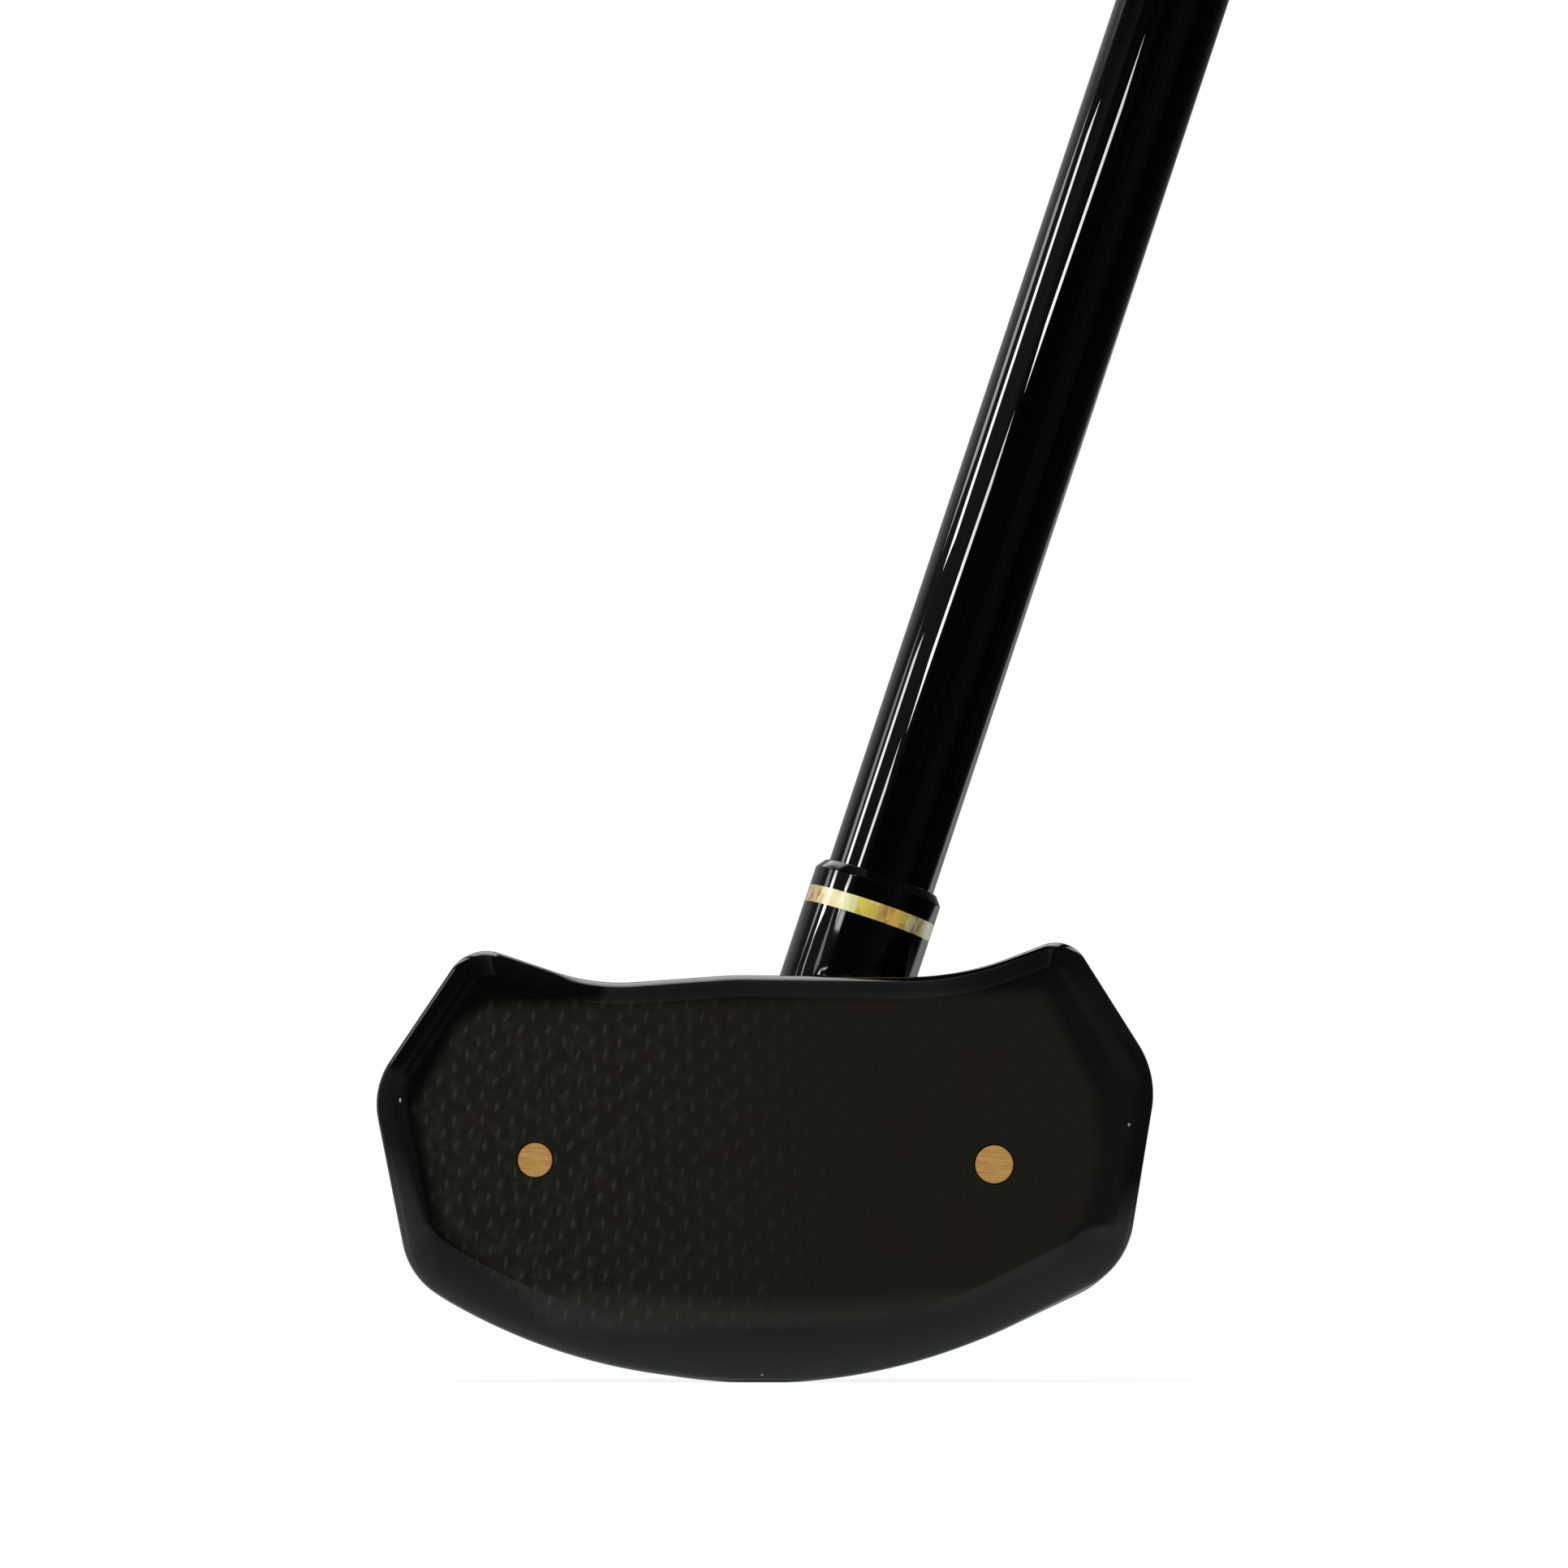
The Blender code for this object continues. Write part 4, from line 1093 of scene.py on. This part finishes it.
def make_sole(screw_cutters):
    """The plate let into the sole, and the recess that it leaves in the body."""
    reach = WAIST_HEIGHT / 2
    blank, above = raised_blank(0.0), raised_blank(PLATE_THICKNESS)
    plate = thing("sole_plate_fine", rounded_rectangle(GAP - PLATE_ROOM, -reach, reach))
    boolean(plate, blank, "INTERSECT")
    cut(plate, [above, *screw_cutters])
    dress(plate, "sole_plate", sole_material())
    recess = thing("sole_recess", rounded_rectangle(GAP, -reach, reach))
    higher = raised_blank(PLATE_THICKNESS + GAP)
    boolean(recess, higher, "DIFFERENCE")
    settled(recess)
    discard(blank, above, higher)
    return recess


def surface_normal(tree, mesh, point):
    """The smooth normal of a blank at its point nearest to this one, and the distance to it."""
    nearest, _, index, distance = tree.find_nearest(point)
    corners = [mesh.vertices[k] for k in mesh.polygons[index].vertices]
    weights = [1 / ((vert.co - nearest).length + MERGE_DISTANCE) for vert in corners]
    normal = Vector()
    for vert, weight in zip(corners, weights):
        normal += vert.normal * weight
    return normal.normalized(), distance


NORMAL_REACH = 2.5 * MM
ON_SKIN = 0.02 * MM
LEAST_LIKENESS = 0.6  # of a blended normal to its face's own


def blend_normals(obj, blanks):
    """Shades the crown and the neck as one surface where they meet."""
    mesh = obj.data
    shapes = []
    for blank in blanks:
        places = [vert.co for vert in blank.vertices]
        shapes.append((BVHTree.FromPolygons(places, [face.vertices for face in blank.polygons]), blank))
    given = [Vector(corner.vector) for corner in mesh.corner_normals]
    for polygon in mesh.polygons:
        centre = polygon.center
        if min(tree.find_nearest(centre)[3] for tree, _ in shapes) > ON_SKIN:
            continue
        for loop in polygon.loop_indices:
            point = mesh.vertices[mesh.loops[loop].vertex_index].co
            found = [surface_normal(tree, blank, point) for tree, blank in shapes]
            if max(distance for _, distance in found) > NORMAL_REACH:
                continue
            total = Vector()
            for normal, distance in found:
                total += normal * (1 - distance / NORMAL_REACH) ** 2
            if total.length and total.normalized().dot(polygon.normal) > LEAST_LIKENESS:
                given[loop] = total.normalized()
    mesh.normals_split_custom_set(given)


def make_body(cutters):
    body = thing("head_body_fine", body_blank())
    crown = body_blank()
    neck = thing("neck_blank", neck_blank(BVHTree.FromBMesh(crown)))
    crown_mesh = mesh_from("crown", crown)
    boolean(body, neck, "UNION")
    bore = rod_cutter("shaft_bore", SHAFT_RADIUS + SEAM, BORE_FLOOR - GAP, NECK_TOP + RING_HEIGHT)
    bore.matrix_world = axis_matrix()
    pockets = pocket_cutters()
    cut(body, [bore, *cutters, *pockets])
    blend_normals(body, [crown_mesh, neck.data])
    discard(neck, bore, *pockets)
    dress(body, "head_body", lacquer_material())


def make_screws():
    steel = steel_material()
    for number, place in enumerate(screw_places(), start=1):
        screw = thing(f"sole_screw_{number}_fine", screw_mesh())
        screw.matrix_world = place
        dress(screw, f"sole_screw_{number}", steel)


def make_head():
    cutters = pin_cutters(PIN_ROOM)
    make_face(cutters)
    make_pins()
    hole_mesh = mesh_from("sole_screw_hole", screw_hole())
    screw_cutters = []
    for place in screw_places():
        hole = thing("sole_screw_hole", hole_mesh)
        hole.matrix_world = place
        screw_cutters.append(hole)
    recess = make_sole(screw_cutters)
    make_body([*cutters, recess, *screw_cutters])
    make_screws()
    discard(recess, *cutters, *screw_cutters)


# Pieces on the shaft


def shaft_piece(node, made, material):
    """Puts a piece that was drawn along Z on the shaft's axis, in the place of a CAD node."""
    piece = thing(f"{node}_fine", made)
    piece.matrix_world = axis_matrix()
    dress(piece, node, material)


def make_trim():
    """The shell ring on the neck's end and the ferrule above it."""
    bore = SHAFT_RADIUS + SEAM
    low = NECK_TOP + GAP / 2 + SEAM
    high = NECK_TOP + GAP + RING_HEIGHT
    ring = sleeve([(NECK_RADIUS, low), (NECK_RADIUS, high)], bore)
    shaft_piece("neck_ring", ring, shell_material())
    foot = high + SEAM
    top = high + GAP + FERRULE_HEIGHT
    lip = SHAFT_RADIUS + GAP + FERRULE_LIP
    profile = [(NECK_RADIUS, foot), (NECK_RADIUS, top - FERRULE_CHAMFER), (lip, top), (bore, top)]
    ferrule = sleeve(soft_corners(profile, FERRULE_ROUND)[:-1], bore)
    shaft_piece("ferrule", ferrule, gloss_black("ferrule_black", (0.0024, 0.0024, 0.0026)))


def make_shaft():
    top = CLUB_LENGTH - CAP_HEIGHT - GAP
    heights = [BORE_FLOOR + (top - BORE_FLOOR) * k / SHAFT_STEPS for k in range(SHAFT_STEPS + 1)]
    tube = sleeve([(SHAFT_RADIUS, height) for height in heights], SHAFT_RADIUS - SHAFT_WALL)
    shaft_piece("shaft", tube, gloss_black("shaft_gloss", (0.0030, 0.0018, 0.0012)))


def wrap_radius(height):
    """Radius of the underlay at a height, before the wrap: it thickens towards the butt."""
    low, high = CLUB_LENGTH - GRIP_LENGTH, CLUB_LENGTH - CAP_HEIGHT
    share = min(max((height - low) / (high - low), 0.0), 1.0)
    thickness = UNDERLAY_LOW + (UNDERLAY_HIGH - UNDERLAY_LOW) * share
    return SHAFT_RADIUS + GAP + thickness


def band_profile(low, high, lead):
    """Radius and height up one side of the band, whose laps lie a lead higher, in turns."""
    wall = GAP + WRAP_THICKNESS
    foot, head = wrap_radius(low) + wall, wrap_radius(high) + wall
    profile = [(foot, low)]
    for turn in range(-1, math.ceil((high - low) / WRAP_PITCH) + 1):
        for phase, lap in LAP_COURSE:
            height = low + WRAP_PITCH * (turn + phase + lead)
            if height <= low + GAP:
                profile.append((foot, low))
            elif height >= high - GAP:
                profile.append((head, high))
            else:
                profile.append((wrap_radius(height) + wall + WRAP_LAP * lap, height))
    profile += [(head, high), (wrap_radius(high) + GAP, high), (wrap_radius(low) + GAP, low)]
    return profile


def wrapped_band(low, high):
    """A band laid round the grip in overlapping turns: each turn rises to its lap edge."""
    mesh = bmesh.new()
    columns = []
    for k in range(TURN_SEGMENTS + 1):
        angle = 2 * math.pi * k / TURN_SEGMENTS
        profile = band_profile(low, high, k / TURN_SEGMENTS)
        columns.append([mesh.verts.new((r * math.cos(angle), r * math.sin(angle), z)) for r, z in profile])
    for here, there in zip(columns, columns[1:]):
        for row in range(len(here)):
            after = (row + 1) % len(here)
            mesh.faces.new((here[row], there[row], there[after], here[after]))
    bmesh.ops.remove_doubles(mesh, verts=mesh.verts, dist=MERGE_DISTANCE)
    bmesh.ops.dissolve_degenerate(mesh, edges=mesh.edges, dist=MERGE_DISTANCE / 2)
    bmesh.ops.recalc_face_normals(mesh, faces=mesh.faces)
    return mesh


def collar_profile(low, top, bore):
    """The collar's outer profile, which swells to a band just below the wrap."""
    wide = wrap_radius(low + COLLAR_HEIGHT) + GAP + WRAP_THICKNESS
    return [
        (bore, low),
        (bore + COLLAR_LIP, low),
        (wide, top - COLLAR_BAND - COLLAR_LIP),
        (wide + COLLAR_LIP, top - COLLAR_BAND),
        (wide + COLLAR_LIP, top - COLLAR_LIP),
        (wide, top),
    ]


def cap_profile(foot):
    """The cap from the end of its spigot in the shaft to the dimple in its top."""
    wide = wrap_radius(foot) + GAP + WRAP_THICKNESS + CAP_OVERHANG
    spigot = SHAFT_RADIUS - SHAFT_WALL - GAP
    profile = [
        (spigot, foot - CAP_SPIGOT_LENGTH),
        (spigot, foot),
        (wide - RUBBER_ROUND, foot),
        (wide, foot + RUBBER_ROUND),
    ]
    for step in range(ROUND_STEPS + 1):
        angle = math.pi / 2 * step / ROUND_STEPS
        radius = wide - CAP_ROUND * (1 - math.cos(angle))
        profile.append((radius, CLUB_LENGTH - CAP_ROUND * (1 - math.sin(angle))))
    return profile + [(radius, CLUB_LENGTH - depth) for radius, depth in CAP_DIMPLE]


def make_grip():
    low = CLUB_LENGTH - GRIP_LENGTH + COLLAR_HEIGHT
    high = CLUB_LENGTH - CAP_HEIGHT - GAP
    bore = SHAFT_RADIUS + SEAM
    rubber = rubber_material()
    collar = soft_corners(collar_profile(low - COLLAR_HEIGHT, low - SEAM, bore), RUBBER_ROUND)[1:]
    shaft_piece("grip_wrap", wrapped_band(low, high), wrap_material())
    shaft_piece("grip_collar", sleeve(collar, bore), rubber)
    shaft_piece("butt_cap", turned(cap_profile(high + SEAM)), rubber)


def dress_hidden(nodes):
    """Materials of the CAD nodes that stay, which lie inside the club."""
    weight = brass_material("weight_brass", (0.62, 0.45, 0.21), (0.45, 0.31, 0.13), 1.0)
    for name, material in (
        ("tip_plug", plug_material()),
        ("toe_weight", weight),
        ("heel_weight", weight),
        ("grip_underlay", foam_material()),
    ):
        nodes[name].data.materials.clear()
        nodes[name].data.materials.append(material)


# Studio

WHITE = (1.0, 1.0, 1.0)
MATT_WORLD = (0.85, 0.85, 0.85)  # what matt surfaces get from all round
FLOOR_HALF = 15.0
FLOOR_GREYS = ((0.14, 0.14, 0.14), (0.15, 0.15, 0.15))
FLOOR_BOUNCE = 0.5  # what the pale floor sends back up to matt surfaces
FLOOR_GLOW = 0.88  # what it adds to its own shading for the camera

# What glossy surfaces see level with them, by the direction round the club: 0.5 is the front
SIDE_LIGHT = (
    (0.0, 0.22), (0.04, 0.38), (0.09, 0.44), (0.13, 0.38), (0.16, 0.34), (0.178, 0.14),
    (0.30, 0.15), (0.36, 0.15), (0.41, 0.02), (0.50, 0.012), (0.57, 0.04), (0.62, 0.06),
    (0.68, 0.01), (0.82, 0.02), (0.88, 0.07), (0.93, 0.13), (0.97, 0.22), (1.0, 0.22),
)
# The panels of the screen overhead and behind, from far toeward at 0 to far heelward at 1
SCREEN = (
    (0.07, 0.0), (0.09, 1.0), (0.12, 1.0), (0.14, 0.0), (0.19, 0.0), (0.22, 1.0), (0.27, 1.0), (0.29, 0.0),
    (0.31, 0.0), (0.34, 1.0), (0.56, 1.0), (0.60, 0.0), (0.67, 0.0), (0.69, 0.8), (0.77, 0.8), (0.80, 0.0),
)
SCREEN_LIGHT = 2.6
# What is overhead in front of the screen, along the same line
OVERHEAD = (
    (0.20, 0.012), (0.30, 0.03), (0.40, 0.07), (0.47, 0.17), (0.508, 0.18), (0.53, 0.02),
    (0.66, 0.03), (0.74, 0.04),
)
TOE_CORNER_LIGHT = (0.10, 0.10, 0.10)
HEEL_CORNER_LIGHT = (0.08, 0.08, 0.08)
# The table's far edge, by how far it lies heelward
TABLE_EDGE_LIGHT = ((0.0, 0.16), (0.45, 0.43), (0.62, 0.8), (0.78, 1.3))
TABLE_EDGE_SLOPE = 0.70

# Each strip has a grid before it, which lets its light out up to one of these angles off its normal
WIDE = math.radians(20.0)
MEDIUM = math.radians(14.0)
NARROW = math.radians(9.0)
# Each line of light on the shaft: its ends as (height along the shaft, share of the half width),
# and the distance, width, radiance and grid of the strip that makes it
STRIPS = (
    ("left_strip_high", (218 * MM, -0.696), (141 * MM, -0.674), 0.35, 0.040, 20.0, WIDE),
    ("left_strip_low", (125 * MM, -0.675), (76 * MM, -0.664), 0.35, 0.040, 20.0, NARROW),
    ("left_strip_foot", (75 * MM, -0.680), (62 * MM, -0.680), 0.35, 0.018, 6.0, NARROW),
    ("right_strip_high", (227 * MM, -0.256), (176 * MM, -0.317), 0.35, 0.030, 20.0, WIDE),
    ("right_strip_middle", (160 * MM, -0.346), (117 * MM, -0.402), 0.35, 0.030, 20.0, MEDIUM),
    ("right_strip_low", (105 * MM, -0.430), (81 * MM, -0.448), 0.35, 0.030, 20.0, NARROW),
    ("right_strip_block", (79.5 * MM, -0.380), (76 * MM, -0.380), 0.35, 0.065, 10.0, NARROW),
    ("right_strip_foot", (75 * MM, -0.490), (62 * MM, -0.500), 0.35, 0.050, 3.5, NARROW),
    ("third_strip_high", (212 * MM, -0.830), (150 * MM, -0.791), 0.35, 0.05, 4.0, WIDE),
    ("third_strip_low", (122 * MM, -0.770), (76 * MM, -0.742), 0.35, 0.05, 3.2, NARROW),
)

# The soft lamp for matt surfaces
KEY_PLACE = Vector((-1.2, -1.6, 1.8))
KEY_TARGET = Vector((0, 0, 0.3))
KEY_SIZE = (1.4, 1.4)
KEY_RADIANCE = 3.6

# The table as a card on the floor, and its strength by how far from its middle lines
# it is seen, as shares of its width and depth
TABLE_LIGHT = (0.36, 0.41, 0.40)
CARD_PLACE = Vector((0, -20 * MM, GAP))
CARD_SIZE = (0.6, 0.44)
CARD_ASIDE = ((0.0, 1.0), (0.15, 1.0), (0.25, 1.5), (0.38, 1.3), (0.5, 0.0))
CARD_FORTH = (
    (0.0, 1.5), (0.012, 1.3), (0.023, 1.1), (0.039, 0.95), (0.084, 0.75), (0.16, 0.68),
    (0.3, 0.6), (0.5, 0.0),
)


def make_camera():
    camera = bpy.data.cameras.new("photo_camera")
    camera.lens = CAMERA_LENS
    camera.sensor_width = CAMERA_SENSOR
    camera.clip_end = CAMERA_REACH
    holder = bpy.data.objects.new("photo_camera", camera)
    bpy.context.scene.collection.objects.link(holder)
    look = CAMERA_TARGET - CAMERA_PLACE
    turn = look.to_track_quat("-Z", "Y").to_matrix()
    holder.matrix_world = Matrix.Translation(CAMERA_PLACE) @ turn.to_4x4()
    bpy.context.scene.camera = holder


def make_floor():
    made = bmesh.new()
    bmesh.ops.create_grid(made, x_segments=8, y_segments=8, size=FLOOR_HALF)
    floor = thing("floor", made)
    surface = Surface("pale_floor", Roughness=0.9, Specular_IOR_Level=0.0, Emission_Color=WHITE)
    glow = surface.source("ShaderNodeLightPath", "Is Camera Ray").smooth(0.0, 1.0, FLOOR_BOUNCE, FLOOR_GLOW)
    paper = surface.noise(40.0).mix(*FLOOR_GREYS)
    floor.data.materials.append(surface.with_inputs(Base_Color=paper, Emission_Strength=glow))
    floor.visible_glossy = False


def mirrored_studio(x, y, z):
    """What glossy surfaces see in a direction: x is heelward, y is behind the club and z is up."""
    in_front = y.smooth(-0.4, -0.6)
    around = (x.math("ARCTAN2", y * -1.0) * (0.5 / math.pi) + 0.5).ramp(SIDE_LIGHT)
    toe_corner = z.smooth(0.22, 0.1) * x.smooth(-0.4, -0.6) * in_front
    heel_corner = z.smooth(0.02, 0.1) * x.smooth(0.42, 0.52) * in_front
    level = heel_corner.mix(toe_corner.mix(around, TOE_CORNER_LIGHT), HEEL_CORNER_LIGHT)
    aside = x * 0.5 + 0.5
    screen = aside.ramp(SCREEN) * y.smooth(0.26, 0.40, 0.0, SCREEN_LIGHT) * y.smooth(0.85, 0.75)
    high = (y.smooth(-0.45, -0.6) * 0.08 + z).smooth(0.46, 0.54)
    walls = high.mix(level, screen + aside.ramp(OVERHEAD))
    below_edge = (x * TABLE_EDGE_SLOPE + z).smooth(0.375, 0.335)
    table_edge = below_edge * y.smooth(0.45, 0.53) * x.smooth(-0.01, 0.01)
    return table_edge.mix(walls, x.ramp(TABLE_EDGE_LIGHT))


def make_world():
    """White to the camera, even to matt surfaces, and a dark-fronted studio to glossy ones."""
    world = bpy.data.worlds.new("studio")
    bpy.context.scene.world = world
    world.use_nodes = True
    world.node_tree.nodes.clear()
    nodes = Nodes(world.node_tree)
    mirrored = mirrored_studio(*nodes.source("ShaderNodeTexCoord", "Generated").axes())
    lit = nodes.source("ShaderNodeLightPath", "Is Glossy Ray").mix(MATT_WORLD, mirrored)
    seen = nodes.source("ShaderNodeLightPath", "Is Camera Ray").mix(lit, WHITE)
    background = nodes.add("ShaderNodeBackground", seen)
    nodes.add("ShaderNodeOutputWorld", Value(nodes, background.outputs[0]))


def reflected_from(height, share):
    """Where the camera sees the shaft at a height along it and a share of its half width,
    and the way on from there after the shaft has mirrored the sight line."""
    to_world = axis_matrix()
    turn = math.asin(share)
    normal = to_world.to_3x3() @ Vector((math.sin(turn), -math.cos(turn), 0))
    point = to_world @ Vector((0, 0, height)) + normal * SHAFT_RADIUS
    sight = (point - CAMERA_PLACE).normalized()
    return point, sight - normal * 2 * sight.dot(normal)


def area_light(name, turn, place, size, radiance):
    """A flat lamp that shines along its own -Z, and that only mirrors show."""
    lamp = bpy.data.lights.new(name, "AREA")
    lamp.shape = "RECTANGLE"
    lamp.size, lamp.size_y = size
    lamp.energy = radiance * math.pi * size[0] * size[1]
    holder = bpy.data.objects.new(name, lamp)
    bpy.context.scene.collection.objects.link(holder)
    holder.matrix_world = Matrix.Translation(place) @ turn.to_4x4()
    holder.visible_camera = False
    holder.visible_diffuse = False
    return holder


def strip_light(name, top, bottom, distance, width, radiance, grid):
    """A strip that the shaft mirrors as a line between two places, each (height, share).

    The line is as bright as it would be without the grid.
    """
    (point_a, way_a), (point_b, way_b) = reflected_from(*top), reflected_from(*bottom)
    a, b = point_a + way_a * distance, point_b + way_b * distance
    middle, along = (a + b) / 2, a - b
    upward = along.normalized()
    aside = ((point_a + point_b) / 2 - middle).cross(upward).normalized()
    turn = Matrix((aside, upward, aside.cross(upward))).transposed()
    lamp = area_light(name, turn, middle, (width, along.length), radiance).data
    lamp.spread = 2 * grid
    off_middle = (way_a.angle(turn.col[2]) + way_b.angle(turn.col[2])) / 2
    lamp.energy *= (math.tan(grid) - grid) / (math.tan(grid) - math.tan(off_middle))


def make_table_card():
    """The pale table as the border mirrors it: brightest under the face, and fading outwards."""
    card = area_light("table_card", Matrix.Rotation(math.pi, 3, "X"), CARD_PLACE, CARD_SIZE, 1.0).data
    card.color = TABLE_LIGHT
    card.use_nodes = True
    nodes = Nodes(card.node_tree)
    across, along, _ = nodes.source("ShaderNodeNewGeometry", "Parametric").axes()
    strength = abs(across - 0.5).ramp(CARD_ASIDE) * abs(along - 0.5).ramp(CARD_FORTH)
    nodes.feed(card.node_tree.nodes["Emission"].inputs["Strength"], strength)


def make_lights():
    for strip in STRIPS:
        strip_light(*strip)
    turn = (KEY_TARGET - KEY_PLACE).to_track_quat("-Z", "Y").to_matrix()
    key = area_light("soft_key", turn, KEY_PLACE, KEY_SIZE, KEY_RADIANCE)
    key.visible_diffuse = True
    key.visible_glossy = False
    make_table_card()


def main():
    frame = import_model()
    bpy.context.scene.view_settings.view_transform = "Standard"
    make_camera()
    make_floor()
    make_world()
    make_lights()
    make_head()
    make_trim()
    make_shaft()
    make_grip()
    dress_hidden(frame["nodes"])


main()
